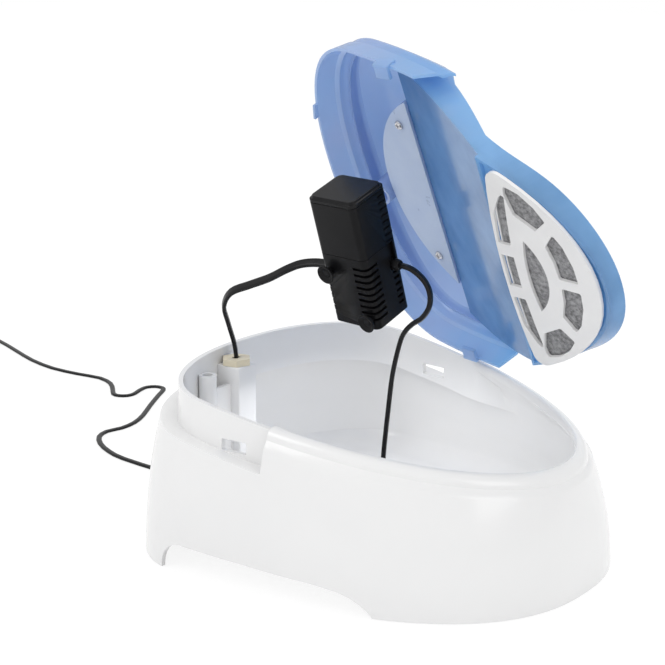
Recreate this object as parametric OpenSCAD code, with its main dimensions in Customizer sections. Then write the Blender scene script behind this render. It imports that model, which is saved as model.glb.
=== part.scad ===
// Pet water fountain, taken apart for cleaning: an egg-shaped tank, a clip-on
// bowl lid held off above it, and a submersible pump hanging on its leads.
// X runs from the rear to the front, Y towards the far side, Z up. The origin
// lies on the surface that the fountain stands on, below the middle of its foot.

/* [Tank] */
// Length of the foot, rear to front
foot_len = 300; // [240:1:360]
// Width of the foot
foot_wid = 260; // [210:1:310]
// Length over the rim's shoulder
rim_len = 266; // [220:1:300]
// Width over the rim's shoulder
rim_wid = 232; // [190:1:260]
// Height of the rim above the widest place
rim_h = 109.5; // [90:0.5:135]
// Fall of the rim per millimetre towards the front
rim_fall = 0.16; // [0.08:0.01:0.2]
// Thickness of the tank wall
wall = 3; // [2:0.5:4]
// Width of the rounded front lip
lip_w = 8.5; // [7:0.5:11]
// Height of the recessed band that the lid slips over
band_h = 25; // [18:1:30]
// Depth of the recess round that band
band_inset = 5.5; // [5:0.5:7]
// Height of the tank's underside above the table
belly_h = 14; // [11:1:16]
// Height of the arch cut in each flank
arch_h = 19; // [10:1:20]
// Length of a latch window
window_len = 19; // [12:1:24]
// Height of a latch window
window_h = 7.5; // [6:0.5:9]

/* [Cable tower] */
// Length of the cable tower's square side
tower_w = 20; // [18:1:24]
// Height of the cable tower
tower_h = 108; // [90:1:112]
// Outer radius of the round post beside the tower
post_r = 6; // [5:0.5:7]
// Width across the flats of the grommet's hexagonal plate
grommet_af = 18; // [16:1:21]
// Thickness of the grommet's plate
grommet_t = 4.5; // [3:0.5:6]

/* [Lid] */
// Wall thickness of the lid
lid_wall = 2; // [1.6:0.1:2.4]
// Height of the bowl's front edge below the rim
brim_low = 11; // [9:0.5:13]
// Depth of the dip in the bowl's edge at mid length
brim_dip = 5; // [0:0.5:7]
// Height that the bowl's edge gains towards the hood
brim_rise = 16; // [12:0.5:18]
// Height of the rear hood above the rim
hood_h = 40; // [34:1:50]
// Clearance between lid and tank
lid_gap = 0.4; // [0.3:0.1:0.8]
// Thickness of the filter grille
grille_t = 2.2; // [1.8:0.1:2.6]
// Width of the grille's middle rib
rib_w = 7; // [5:0.5:9]
// Thickness of the filter pad
pad_t = 3; // [2.4:0.1:3.2]

/* [Pump] */
// Width of the pump
pump_w = 36; // [32:1:42]
// Depth of the pump
pump_d = 32; // [30:1:38]
// Height of the pump
pump_h = 88; // [80:1:100]
// Wall thickness of the pump's casings
pump_wall = 2; // [1.6:0.2:2.4]
// Radius of the magnet
magnet_r = 6.4; // [5.8:0.2:6.6]
// Radius of the ceramic shaft
shaft_r = 1.25; // [1:0.05:1.5]
// Running clearance on the shaft
shaft_gap = 0.06; // [0.03:0.01:0.1]

/* [Leads] */
// Width of the flat pump lead
lead_w = 6; // [5:0.5:7]
// Thickness of the flat pump lead
lead_t = 3.2; // [2.6:0.2:3.6]
// Width of the flat supply cord
cord_w = 4.4; // [4:0.2:5]
// Thickness of the flat supply cord
cord_t = 2.4; // [2:0.2:3]

/* [Hidden] */

// Each egg outline is [centre x, rear reach, front reach, half width, rear power, front power].
widest_x = -foot_len * 0.235;
foot = [widest_x, foot_len / 2 + widest_x, foot_len / 2 - widest_x, foot_wid / 2, 2.1, 2.4];
rim_x = widest_x + 7;
rim_rear = rim_len * 0.24;
shoulder = [rim_x, rim_rear, rim_len - rim_rear, rim_wid / 2, 2.2, 2.05];
ring_n = 72;
flare = 1.9;
lip_round = 5;
step_x = rim_x + 55;
floor_t = 3;
far = 400;
eps = 0.01;

// The lid's parts are drawn where they sit on the tank, then lifted off into this pose.
lid_turn = [-61.6, 4.1, -5.6];
lid_pivot = [0, 0, 100];
lid_at = [42, 49, 215];
front_x = rim_x + rim_len - rim_rear;
// Outlines of the bowl at the filter's level and at its edge.
bowl_low = [rim_x, rim_rear, rim_len - rim_rear - 24.5, rim_wid / 2 - 15, 2.2, 2.05];
bowl_edge = [rim_x, rim_rear, rim_len - rim_rear - 14.5, rim_wid / 2 - 13, 2.2, 2.05];
crest_front = -brim_low;
filter_back = 43;
grille_z = rim_z(front_x) - 18.6;
wall_low = grille_z + grille_t + 0.3;
floor_z = grille_z + grille_t + pad_t + 0.4;
tip_x = rim_x + 70;
latch_x = step_x - 26;
cover_x = -50;
rear_tab = [rim_x - rim_rear - 0.5, 60];
duct_r = 85;
screw_x = cover_x - 12;
screw_y = 54;
inlet_at = [-103, 12];
// The pump's parts are drawn upright about the pump's middle.
pump_turn = [20, 2, -3];
pump_at = [5, -38, 201];

tower_at = [-107, -27];
post_at = [-106, -57];
pad_r = 7;
pad_h = 2.5;
pad_proud = 0.6;
foot_pads_at = [[-112, -52], [-112, 52], [98, -66], [98, 66], [0, 0]];

split_z = 5;
chamber_r = 13;
well_r = magnet_r + 0.8;
well_top = 31;
slot_n = 8;
slot_pitch = 4.4;
slot_w = 1.8;

function mix(a, b, t) = a + (b - a) * t;
function spow(v, e) = sign(v) * pow(abs(v), e);
function clamp01(v) = max(0, min(1, v));
function smooth(v) = let (c = clamp01(v)) c * c * (3 - 2 * c);
function bell(v) = exp(-v * v);
function rim_z(x) = rim_h - rim_fall * (x - rim_x);

// A point of an egg outline at angle u, scaled by k and then drawn in by d.
function egg(p, u, k = 1, d = 0) =
    let (back = cos(u) < 0, reach = back ? p[1] : p[2], e = 2 / (back ? p[4] : p[5]))
    [p[0] + (reach * k - d) * spow(cos(u), e), (p[3] * k - d) * spow(sin(u), e)];
function egg_ring(p, k = 1, d = 0) = [for (i = [0:ring_n - 1]) egg(p, (i + 0.5) * 360 / ring_n, k, d)];
function flat_ring(p, z, d = 0, k = 1) = [for (q = egg_ring(p, k, d)) [q[0], q[1], z]];
function rim_ring(p, dz, d = 0, k = 1) =
    [for (q = egg_ring(p, k, d)) [q[0], q[1], rim_z(q[0]) + dz]];
// The flared flank at the share t of the rim's height.
function flank_p(t) = mix(foot, shoulder, pow(t, flare));
function flank_ring(t, d = 0) =
    [for (q = egg_ring(flank_p(t), 1, d)) [q[0], q[1], t * rim_z(q[0])]];
// The inner face of the skirt at its rearmost place, at height z under the belly.
function skirt_back(z) =
    let (up = flank_p(0.2))
    mix(foot[0] - foot[1] + wall, up[0] - up[1] + wall + 0.4, (z + 1) / (belly_h + 9));

// A closed solid through rings of equal point count, from the lowest up.
module loft(rings) {
    n = len(rings[0]);
    m = len(rings);
    walls = [for (j = [0:m - 2]) for (i = [0:n - 1])
        let (a = j * n + i, b = j * n + (i + 1) % n)
        [a, a + n, b + n, b]];
    floor_face = [for (i = [0:n - 1]) i];
    roof_face = [for (i = [n - 1:-1:0]) (m - 1) * n + i];
    faces = concat([floor_face], walls, [roof_face]);
    polyhedron(points = [for (r = rings) each r], faces = faces, convexity = 8);
}

// A tilted slab that keeps what lies between two heights above the rim plane.
module rim_slab(z_low, z_high, x_low, x_high) {
    rotate([90, 0, 0])
        linear_extrude(height = 2 * far, center = true)
            polygon([[x_low, rim_z(x_low) + z_low], [x_high, rim_z(x_high) + z_low],
                     [x_high, rim_z(x_high) + z_high], [x_low, rim_z(x_low) + z_high]]);
}

// ---- tank -------------------------------------------------------------------

module tank_outside() {
    loft(concat(
        [flat_ring(foot, pad_proud)],
        [for (t = [0.1:0.1:0.9]) flank_ring(t)],
        [rim_ring(shoulder, -lip_round, 0.3), rim_ring(shoulder, -2.2, 1.2),
         rim_ring(shoulder, 0, 2.8), rim_ring(shoulder, 1.5, 5), rim_ring(shoulder, 2, 7)]));
}

module tank_cavity() {
    side = 0.42;
    difference() {
        loft(concat(
            [flat_ring(flank_p(0.2), belly_h + floor_t, 26),
             flat_ring(flank_p(0.2), belly_h + floor_t + 3, 14),
             flat_ring(flank_p(0.25), belly_h + floor_t + 9, 6)],
            [for (t = [side:0.14:0.86]) flank_ring(t, wall + (t - side) * 4)],
            [rim_ring(shoulder, -2, lip_w), rim_ring(shoulder, 3, lip_w)]));
        band_core();
    }
}

// What stays inside the wall in the rear half: the band above and its ledge below.
module band_core() {
    difference() {
        rim_slab(-band_h - wall, 20, -far, step_x + wall);
        loft([rim_ring(shoulder, -band_h - wall - 1, lip_w), rim_ring(shoulder, 21, lip_w)]);
    }
}

module band_recess() {
    difference() {
        rim_slab(-band_h, 20, -far, step_x);
        loft([rim_ring(shoulder, -band_h - 1, band_inset - 0.8), rim_ring(shoulder, 0, band_inset)]);
    }
    rim_slab(0, 20, -far, step_x);
}

module underside() {
    difference() {
        loft([flat_ring(foot, -1, wall), flat_ring(flank_p(0.2), belly_h + 8, wall + 0.4)]);
        loft([flat_ring(flank_p(0.15), belly_h, 27), flat_ring(flank_p(0.18), belly_h + 3, 14),
              flat_ring(flank_p(0.2), belly_h + 8.1, 5)]);
    }
}

module arch_profile() {
    back_x = foot_len * -0.277;
    front_x = foot_len * 0.233;
    polygon([[back_x, -1], [back_x + 1, arch_h * 0.35], [back_x + 4, arch_h * 0.65],
             [back_x + 9, arch_h * 0.88], [back_x + 16, arch_h], [-16, arch_h - 0.5],
             [front_x - 32, arch_h - 3.6], [front_x - 21, arch_h - 4.9], [front_x - 14, arch_h - 7.4],
             [front_x - 8, arch_h - 11], [front_x - 3, arch_h - 15], [front_x, -1]]);
}

// The arch in each flank goes through the skirt only, not into the tank.
module arches() {
    difference() {
        rotate([90, 0, 0]) linear_extrude(height = far, center = true) arch_profile();
        loft([flat_ring(foot, -2, wall + 1.5), flat_ring(flank_p(0.2), belly_h + 9, wall + 1.8)]);
    }
}

module latch_windows() {
    x = step_x - 28;
    for (side = [-1, 1])
        translate([x, side * rim_wid / 2, rim_z(x) - band_h + window_h / 2 + 1.5])
            cube([window_len, 30, window_h], center = true);
}

module rear_beads() {
    for (side = [-1, 1])
        translate([rim_x - rim_rear + band_inset + 9.5, side * 74, rim_z(-110) - band_h + 11])
            rotate([0, 0, side * -52])
                cube([3, 11, 3], center = true);
}

module tower() {
    low = belly_h + floor_t - 1.5;
    translate([tower_at[0], tower_at[1], low]) {
        translate([-tower_w / 2, -tower_w / 2 + 1, 0]) cube([tower_w, tower_w - 2, tower_h - low]);
        translate([-tower_w / 2 - 4, -3, 0]) cube([6, 6, tower_h - low - 3]);
    }
    translate([post_at[0], post_at[1], low]) {
        cylinder(h = tower_h - low - 1, r = post_r, $fn = 32);
        translate([-post_r - 3, -1.5, 0]) cube([5, 3, tower_h - low - 6]);
        translate([-1.5, post_r - 1, 0]) cube([3, 16, tower_h - low - 12]);
    }
}

module tower_bores() {
    bore = tower_w - 2 * wall;
    translate([tower_at[0] - bore / 2, tower_at[1] - bore / 2 + 1, -1]) cube([bore, bore - 2, far]);
    translate([post_at[0], post_at[1], tower_h - 30]) cylinder(h = far, r = post_r - 2.4, $fn = 32);
}

module pad_bosses() {
    for (p = foot_pads_at)
        translate([p[0], p[1], pad_proud])
            cylinder(h = belly_h + 1.5 - pad_proud, r = pad_r + 2, $fn = 32);
}

module tank_base() color("white") difference() {
    union() {
        difference() {
            tank_outside();
            underside();
            tank_cavity();
            band_recess();
            arches();
        }
        tower();
        pad_bosses();
        rear_beads();
    }
    tower_bores();
    latch_windows();
    for (p = foot_pads_at)
        translate([p[0], p[1], -1]) cylinder(h = pad_h + 1, r = pad_r + 0.1, $fn = 32);
    translate([-foot_len / 2 - 5, cord_exit[1], cord_exit[2]])
        rotate([0, 90, 0]) cylinder(h = 16, r = bush_r, $fn = 32);
}

module foot_pads() color("dimgray")
    for (p = foot_pads_at)
        translate([p[0], p[1], 0])
            rotate_extrude($fn = 32)
                polygon([[0, 0], [pad_r - 1.2, 0], [pad_r, 1], [pad_r, pad_h], [0, pad_h]]);

module cable_grommet() color("ivory") {
    hex_r = grommet_af / 2 / cos(30);
    bore_w = tower_w - 2 * wall - 0.6;
    translate([tower_at[0], tower_at[1], tower_h]) difference() {
        union() {
            rotate([0, 0, 12]) cylinder(h = grommet_t, r = hex_r, $fn = 6);
            translate([-bore_w / 2, -bore_w / 2 + 1, -9]) cube([bore_w, bore_w - 2, 9 + eps]);
        }
        translate([-lead_t / 2, -lead_w / 2, -20]) cube([lead_t, lead_w, 40]);
    }
}

// ---- lid --------------------------------------------------------------------

module lid_pose() translate(lid_at) rotate(lid_turn) translate(-lid_pivot) children();

// A prism across the whole width from a side outline given as [x, height above the rim plane].
module across(outline) {
    rotate([90, 0, 0])
        linear_extrude(height = 2 * far, center = true)
            polygon([for (p = outline) [p[0], rim_z(p[0]) + p[1]]]);
}

// The hood's rings above the rim: [height share, outline scale].
hood_steps = [[0.05, 0.992], [0.13, 0.965], [0.26, 0.92], [0.41, 0.865], [0.56, 0.8], [0.71, 0.72],
              [0.84, 0.62], [0.93, 0.5], [0.98, 0.36], [1, 0.18]];
skirt_low = 4 - band_h;

// A ring of the skirt dz above the rim plane, flush with the tank's flank.
function skirt_ring(dz, d) =
    [for (q = egg_ring(flank_p(1 + dz / 105), 1, d)) [q[0], q[1], rim_z(q[0]) + dz]];

// The space under the skirt and hood, drawn in by d from the lid's outer face.
module lid_solid(d, low) {
    loft(concat(
        [skirt_ring(low, d), skirt_ring(-12, d)],
        [rim_ring(shoulder, -5, 0.3 + d)],
        [for (h = hood_steps) rim_ring(shoulder, h[0] * hood_h - h[0] * d, (1 - h[0]) * d, h[1])]));
}

// What lies behind the skirt's leaning front end and the hood's arched edge.
module hood_region() {
    across([[-far, -60], [tip_x - 17, -60], [tip_x - 14.5, skirt_low - 0.5], [tip_x, 2.7], [tip_x - 2, 6],
            [tip_x - 8, 13], [tip_x - 17, 21], [tip_x - 30, 31], [tip_x - 52, 48], [-far, 48]]);
}

module hood() {
    intersection() {
        difference() {
            lid_solid(0, skirt_low);
            lid_solid(lid_wall, skirt_low - 1);
        }
        hood_region();
    }
}

// The rib inside the hood that rests on the tank's rim.
module rest_rib() {
    intersection() {
        difference() {
            loft([rim_ring(shoulder, lid_gap, band_inset + 0.6), rim_ring(shoulder, 30, band_inset + 0.6)]);
            loft([rim_ring(shoulder, -1, band_inset + 2.4), rim_ring(shoulder, 31, band_inset + 2.4)]);
        }
        rim_slab(-1, 60, -far, -15.3);
    }
}

// Height of the bowl's edge above the rim plane.
function crest(x) = crest_front - brim_dip * bell((x - 50) / 30) + brim_rise * clamp01(1 - x / 40);
ramp_back = cover_x + 2;
function ramp_z(x) =
    let (low = floor_z + lid_wall, rise = rim_z(ramp_back) + 1.8 - floor_z - lid_wall)
    low + rise * (filter_back - x) / (filter_back - ramp_back);

module bowl_solid(d) {
    loft([rim_ring(bowl_low, -60, d), rim_ring(bowl_low, -24, d),
          rim_ring(bowl_edge, -13, d), rim_ring(bowl_edge, 40, d)]);
}

module bowl_body() {
    intersection() {
        bowl_solid(0);
        rotate([90, 0, 0])
            linear_extrude(height = 2 * far, center = true)
                polygon(concat(
                    [[ramp_back - 2, ramp_z(ramp_back - 2) - lid_wall], [filter_back, floor_z],
                     [filter_back, wall_low], [front_x + 10, wall_low]],
                    [for (x = [front_x + 10:-8:0]) [x, rim_z(x) + crest(x)]],
                    [[-8, rim_z(-8) + 12], [-16, rim_z(-16) + 21], [ramp_back - 2, rim_z(ramp_back) + 36]]));
    }
}

module bowl_hollow() {
    intersection() {
        bowl_solid(lid_wall);
        rotate([90, 0, 0])
            linear_extrude(height = 2 * far, center = true)
                polygon([[ramp_back - 5, ramp_z(ramp_back - 5)], [filter_back, floor_z + lid_wall],
                         [front_x + 20, floor_z + lid_wall], [front_x + 20, far], [ramp_back - 5, far]]);
    }
    intersection() {
        bowl_solid(lid_wall);
        translate([filter_back + lid_wall, -far, 0]) cube([far, 2 * far, floor_z]);
    }
}

module bowl() {
    difference() {
        bowl_body();
        bowl_hollow();
        drain_slots();
    }
}

module drain_slots() {
    for (r = [0:2])
        for (i = [r - 3:3 - r])
            translate([filter_back + 20 + 19 * r, i * 14, floor_z + 1])
                cube([10, 3, 2 * lid_wall + 2], center = true);
}

// A springy tab that runs below the skirt, with a barb of the given reach for a latch window.
module side_tab(reach) {
    translate([-6, -lid_wall, -4 + lid_gap]) cube([12, lid_wall, 9]);
    if (reach > 0)
        translate([-5.5, -lid_wall - reach, -3.4]) cube([11, reach + 0.5, 3]);
}

module latch_tabs() {
    for (side = [-1, 1])
        mirror([0, side < 0 ? 1 : 0, 0]) {
            translate([latch_x, skirt_y(latch_x), rim_z(latch_x) + skirt_low]) side_tab(8);
            translate([rear_tab[0], rear_tab[1], rim_z(rear_tab[0]) + skirt_low])
                rotate([0, 0, 72]) side_tab(0);
        }
}

// Half width of the skirt's lower edge at a place in front of the widest.
function skirt_y(x) =
    let (p = flank_p(1 + skirt_low / 105))
    p[3] * pow(1 - pow((x - p[0]) / p[2], p[5]), 1 / p[5]) + 0.15;

// The crescent of the water duct, cut off straight in front.
module duct_outline(d = 0) {
    intersection() {
        translate([cover_x + 41, 0]) circle(r = duct_r - d, $fn = 96);
        translate([cover_x - far - d, -far]) square([far, 2 * far]);
    }
}

module duct_wall() {
    intersection() {
        linear_extrude(height = far) difference() {
            duct_outline();
            duct_outline(lid_wall);
        }
        rim_slab(0.1, 60, -far, far);
    }
}

// A frame square to the rim plane at a screw's place.
module at_screw(side)
    translate([screw_x, side * screw_y, rim_z(screw_x)]) rotate([0, atan(rim_fall), 0]) children();

module screw_bosses() {
    for (side = [-1, 1])
        at_screw(side) translate([0, 0, 0.1]) cylinder(h = 60, r = 3.8, $fn = 32);
}

// The socket behind the duct that the pump's outlet pushes into.
module inlet_socket() {
    translate([inlet_at[0], inlet_at[1], rim_z(inlet_at[0]) - 8]) cylinder(h = 60, r = 8.4, $fn = 48);
}
module inlet_bore() {
    translate([inlet_at[0], inlet_at[1], rim_z(inlet_at[0]) - 9]) cylinder(h = 19, r = 6.3, $fn = 48);
    translate([inlet_at[0], inlet_at[1] - 4, rim_z(inlet_at[0]) + 2]) cube([14, 8, 7.5]);
}

spout_w = 56;
module spout_mouth() {
    translate([cover_x - 5, -spout_w / 2, ramp_z(cover_x)]) cube([10, spout_w, 11]);
}

module lid_shell() color([0.35, 0.6, 0.9, 0.75]) lid_pose() difference() {
    union() {
        hood();
        latch_tabs();
        // Everything under the hood ends inside its wall.
        intersection() {
            union() {
                rest_rib();
                bowl();
                duct_wall();
                screw_bosses();
                inlet_socket();
            }
            lid_solid(lid_wall / 2, -60);
        }
    }
    spout_mouth();
    inlet_bore();
    for (side = [-1, 1]) at_screw(side) translate([0, 0, -1]) cylinder(h = 12, r = 1.5, $fn = 32);
}

module duct_cover() color([0.85, 0.9, 0.97, 0.8]) lid_pose() difference() {
    intersection() {
        linear_extrude(height = far) duct_outline();
        rim_slab(-2, 0, -far, far);
    }
    for (side = [-1, 1]) at_screw(side) translate([0, 0, -9]) cylinder(h = 20, r = 1.7, $fn = 32);
}

module duct_screws() color("silver") lid_pose()
    for (side = [-1, 1])
        at_screw(side) translate([0, 0, -4]) difference() {
            rotate_extrude($fn = 32)
                polygon([[0, 0], [2.4, 0], [3.3, 0.8], [3.3, 2], [1.5, 2], [1.5, 14.2], [0, 14.8]]);
            for (a = [0, 90]) rotate([0, 0, a]) translate([-1.8, -0.4, -1]) cube([3.6, 0.8, 1.9]);
        }

// ---- filter -----------------------------------------------------------------

module filter_outline(d = 0) {
    offset(r = 7, $fn = 48) offset(delta = -7)
        intersection() {
            polygon([for (u = [0:5:355]) egg(bowl_low, u, 1, d)]);
            translate([filter_back + d, 0])
                polygon(concat([for (y = [-100:20:100]) [6 * pow(y / 70, 2), y]], [[200, 100], [200, -100]]));
        }
}

// The grille's openings on the far side, each a ring of corners from the grille's rear edge.
side_column = [[2.5, 21], [12, 21], [14, 40], [17, 62], [12, 57], [5, 44]];
side_wing = [[20, 46], [34, 37.5], [43, 46], [37, 55], [28, 63], [18, 66.5], [16.5, 60]];
front_wing = [[43, rib_w / 2], [57, rib_w / 2], [56, 16], [51.5, 30], [46, 37.5], [38.5, 27], [42, 15]];

module opening(ring) {
    translate([filter_back, 0])
        offset(r = 1.6, $fn = 24) offset(delta = -1.6) polygon(ring);
}

module grille_openings() {
    for (side = [-1, 1])
        mirror([0, side < 0 ? 1 : 0]) {
            opening(side_column);
            opening(side_wing);
            opening(front_wing);
        }
    translate([filter_back + 2.2, -12]) square([9.4, 24]);
    // The pointed lens in the middle.
    intersection() {
        translate([filter_back + 34 - 38, 0]) circle(r = 38, $fn = 96);
        translate([filter_back + 19 + 112, 0]) circle(r = 112, $fn = 144);
    }
}

module filter_grille() color("white") lid_pose() {
    translate([0, 0, grille_z]) linear_extrude(height = grille_t) difference() {
        filter_outline();
        grille_openings();
    }
    translate([0, 0, grille_z + grille_t - eps]) linear_extrude(height = 2.4) difference() {
        filter_outline(lid_wall + 0.7);
        filter_outline(lid_wall + 1.9);
    }
}

module filter_pad() color("gray") lid_pose()
    translate([0, 0, grille_z + grille_t + 0.1])
        linear_extrude(height = pad_t) filter_outline(lid_wall + 2.2);

// ---- pump -------------------------------------------------------------------

module pump_pose() translate(pump_at) rotate(pump_turn) children();

module pump_block(z_low, z_high, d = 0) {
    r = 4;
    translate([0, 0, z_low])
        linear_extrude(height = z_high - z_low)
            offset(r = r, $fn = 32)
                square([pump_w - 2 * d - 2 * r, pump_d - 2 * d - 2 * r], center = true);
}

top_z = pump_h / 2;
chamber_low = -8;
outlet_z = -2;
outlet_face = pump_d / 2 - 1.5;
gland_z = -10;
gland_face = pump_w / 2 - pump_wall - 0.4;
gland_sides = [[-1, -6], [1, 9]];
gland_r = 2.6;
lug_t = 2.3;

module pump_housing() color("#1a1a1c") pump_pose() difference() {
    union() {
        difference() {
            union() {
                pump_block(split_z, top_z - 4);
                translate([0, 0, chamber_low])
                    cylinder(h = split_z - chamber_low + 0.5, r = chamber_r, $fn = 64);
                translate([-7, 6, outlet_z - 6]) cube([14, outlet_face - 6, split_z - outlet_z + 6.5]);
                for (g = gland_sides)
                    translate([g[0] > 0 ? gland_face - lug_t : -gland_face, g[1] - 2.5, gland_z - 4])
                        cube([lug_t, 5, split_z - gland_z + 4.5]);
            }
            translate([-pump_w / 2 + pump_wall, -pump_d / 2 + pump_wall, split_z + 3])
                cube([pump_w - 2 * pump_wall, pump_d - 2 * pump_wall, top_z]);
        }
        translate([0, 0, split_z + 1]) cylinder(h = well_top + 1.4 - split_z - 1, r = well_r + 1.2, $fn = 64);
    }
    translate([0, 0, chamber_low - 1]) cylinder(h = 3 - chamber_low + 1, r = chamber_r - pump_wall, $fn = 64);
    difference() {
        translate([0, 0, -1]) cylinder(h = well_top + 1, r = well_r, $fn = 64);
        difference() {
            translate([0, 0, well_top - 2.4]) cylinder(h = 4, r = 4, $fn = 48);
            translate([0, 0, well_top - 3]) cylinder(h = 6, r = bush_od, $fn = 48);
        }
    }
    translate([0, 0, outlet_z]) rotate([-90, 0, 0]) cylinder(h = far, r = 4.5, $fn = 48);
    vent_slots();
}

// Shallow louvres down the upper casing's outer corner.
module vent_slots() {
    for (i = [0:slot_n - 1])
        translate([pump_w / 2 - 0.8, pump_d / 2 - 9.5, split_z + 1 + i * slot_pitch])
            cube([6, 11, slot_w]);
}

module pump_cap() color("#202022") pump_pose() {
    difference() {
        union() {
            pump_block(top_z - 4, top_z - 1.4);
            pump_block(top_z - 1.5, top_z, 1.2);
        }
        translate([0, 0, top_z - 5]) linear_extrude(height = 3)
            square([pump_w - 4 * pump_wall, pump_d - 4 * pump_wall], center = true);
    }
}

module pump_strainer() color("#161617") pump_pose() difference() {
    pump_block(-top_z, split_z - 0.3);
    pump_block(-top_z + pump_wall, split_z + 1, pump_wall);
    strainer_slots();
    // Notches, open at the top, that clear the outlet and the two glands.
    translate([-7.6, 0, outlet_z - 7.2]) cube([15.2, far, 40]);
    for (g = gland_sides)
        translate([g[0] * pump_w / 2, g[1], gland_z - gland_r - 0.5 + 20])
            cube([2 * pump_wall + 2, 2 * gland_r + 1, 40], center = true);
}

// Slots that wrap the front corner of the lower casing, and the combs on its other edges.
module strainer_slots() {
    for (i = [0:8])
        translate([pump_w / 2 - 11, -pump_d / 2 - 1, -top_z + 6 + i * slot_pitch])
            cube([20, 12, slot_w]);
    for (i = [0:5])
        translate([-pump_w / 2 - 1, -pump_d / 2 - 1, -top_z + 6 + i * slot_pitch])
            cube([5, 9, slot_w]);
    for (i = [0:6])
        translate([-pump_w / 2 - 1, pump_d / 2 - 9, -top_z + 6 + i * slot_pitch])
            cube([pump_w + 2, 5, slot_w]);
}

core_x = well_r + 1.5;
core_room = 2.3;
core_leg = pump_w / 2 - pump_wall - core_room - core_x;
core_t = 4;
coil_t = 2.2;
coil_play = 0.2;
core_z = well_top + 1.7 + coil_t + coil_play;
module stator_core() color("slategray") pump_pose() {
    for (side = [-1, 1])
        translate([side > 0 ? core_x : -core_x - core_leg, -7, split_z + 3])
            cube([core_leg, 14, core_z - split_z - 3 + eps]);
    translate([-core_x - core_leg, -7, core_z]) cube([2 * (core_x + core_leg), 14, core_t]);
}

module stator_coil() color("peru") pump_pose()
    translate([0, 0, core_z + core_t / 2]) difference() {
        cube([13, 14 + 2 * (coil_t + coil_play), core_t + 2 * (coil_t + coil_play)], center = true);
        cube([14, 14 + 2 * coil_play, core_t + 2 * coil_play], center = true);
    }

module impeller() color("ivory") pump_pose() {
    tip_r = chamber_r - pump_wall - 0.8;
    difference() {
        union() {
            translate([0, 0, 0.6]) cylinder(h = 1.4, r = tip_r, $fn = 64);
            translate([0, 0, -5]) cylinder(h = 7, r = 3.2, $fn = 48);
            for (a = [0:60:300])
                rotate([0, 0, a]) translate([2.6, -0.5, -5]) cube([tip_r - 3, 1, 5.8]);
        }
        translate([0, 0, -6]) cylinder(h = 10, r = shaft_r + shaft_gap, $fn = 32);
    }
}

module impeller_magnet() color("#303034") pump_pose() difference() {
    translate([0, 0, 2]) cylinder(h = 24, r = magnet_r, $fn = 64);
    translate([0, 0, 1]) cylinder(h = 26, r = shaft_r + shaft_gap, $fn = 32);
}

bush_od = 2.6;
bush_low = chamber_low - 1.2;
module impeller_shaft() color("white") pump_pose()
    translate([0, 0, bush_low]) cylinder(h = well_top - bush_low, r = shaft_r, $fn = 32);

module shaft_bushes() color("#404044") pump_pose()
    for (z = [bush_low, well_top - 2])
        translate([0, 0, z]) difference() {
            cylinder(h = 2, r = bush_od, $fn = 48);
            translate([0, 0, -1]) cylinder(h = 4, r = shaft_r, $fn = 32);
        }

// Closes the impeller chamber; water enters between its spokes, round the lower bush.
module volute_plate() color("#1c1c1e") pump_pose() difference() {
    translate([0, 0, chamber_low - 2]) cylinder(h = 2, r = chamber_r, $fn = 64);
    difference() {
        translate([0, 0, chamber_low - 3]) cylinder(h = 4, r = 8, $fn = 48);
        translate([0, 0, chamber_low - 4]) cylinder(h = 6, r = 4, $fn = 48);
        for (a = [0, 60, 120])
            rotate([0, 0, a]) translate([-9, -0.8, chamber_low - 4]) cube([18, 1.6, 6]);
    }
    translate([0, 0, bush_low]) cylinder(h = 2, r = bush_od, $fn = 48);
}

module pump_outlet() color("#1a1a1c") pump_pose()
    translate([0, outlet_face, outlet_z]) rotate([-90, 0, 0]) difference() {
        cylinder(h = 12, r = 6, $fn = 48);
        translate([0, 0, -1]) cylinder(h = 20, r = 4.5, $fn = 48);
    }

cup_spots = [[-12.5, -7.5], [12.5, -37.5]];
module suction_cups() color("#0e0e0f") pump_pose()
    for (c = cup_spots)
        translate([c[0], -pump_d / 2, c[1]]) rotate([90, 0, 0])
            rotate_extrude($fn = 48)
                polygon([[0, 0], [2.6, 0], [2.6, 1.6], [4.6, 2.4],
                         [6.2, 4.6], [5.6, 5], [3.6, 3.4], [0, 2.8]]);

gland_len = 7.6;
module lead_glands() color("#0e0e0f") pump_pose()
    for (g = gland_sides)
        translate([g[0] * gland_face, g[1], gland_z]) rotate([0, g[0] * 90, 0])
            rotate_extrude($fn = 32)
                polygon([[0, 0], [gland_r, 0], [gland_r, 3], [3.7, 3.4],
                         [3.7, 5.2], [3, gland_len], [0, gland_len]]);

// ---- leads and cord ---------------------------------------------------------

function unit(v) = v / norm(v);
// A flat tube of width w and thickness t through the points of a route.
function tangent(pts, i) = unit(pts[min(i + 1, len(pts) - 1)] - pts[max(i - 1, 0)]);
function side_of(pts, i, up) = unit(cross(up, tangent(pts, i)));
module flat_tube(pts, w, t, up, sides = 8) {
    loft([for (i = [0:len(pts) - 1])
        let (s = side_of(pts, i, up), v = unit(cross(tangent(pts, i), s)))
        [for (k = [0:sides - 1])
            let (a = (k + 0.5) * 360 / sides)
            pts[i] + s * (w / 2 / cos(22.5) * cos(a)) + v * (t / 2 / cos(22.5) * sin(a))]]);
}
// A smooth curve through hand-placed points, with m steps for each span.
function curve_point(a, b, c, d, t) =
    0.5 * (2 * b + (c - a) * t + (2 * a - 5 * b + 4 * c - d) * t * t + (3 * b - a - 3 * c + d) * t * t * t);
function curve(p, m) = concat(
    [for (i = [0:len(p) - 2]) for (j = [0:m - 1])
        curve_point(p[max(i - 1, 0)], p[i], p[i + 1], p[min(i + 2, len(p) - 1)], j / m)],
    [p[len(p) - 1]]);

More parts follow.
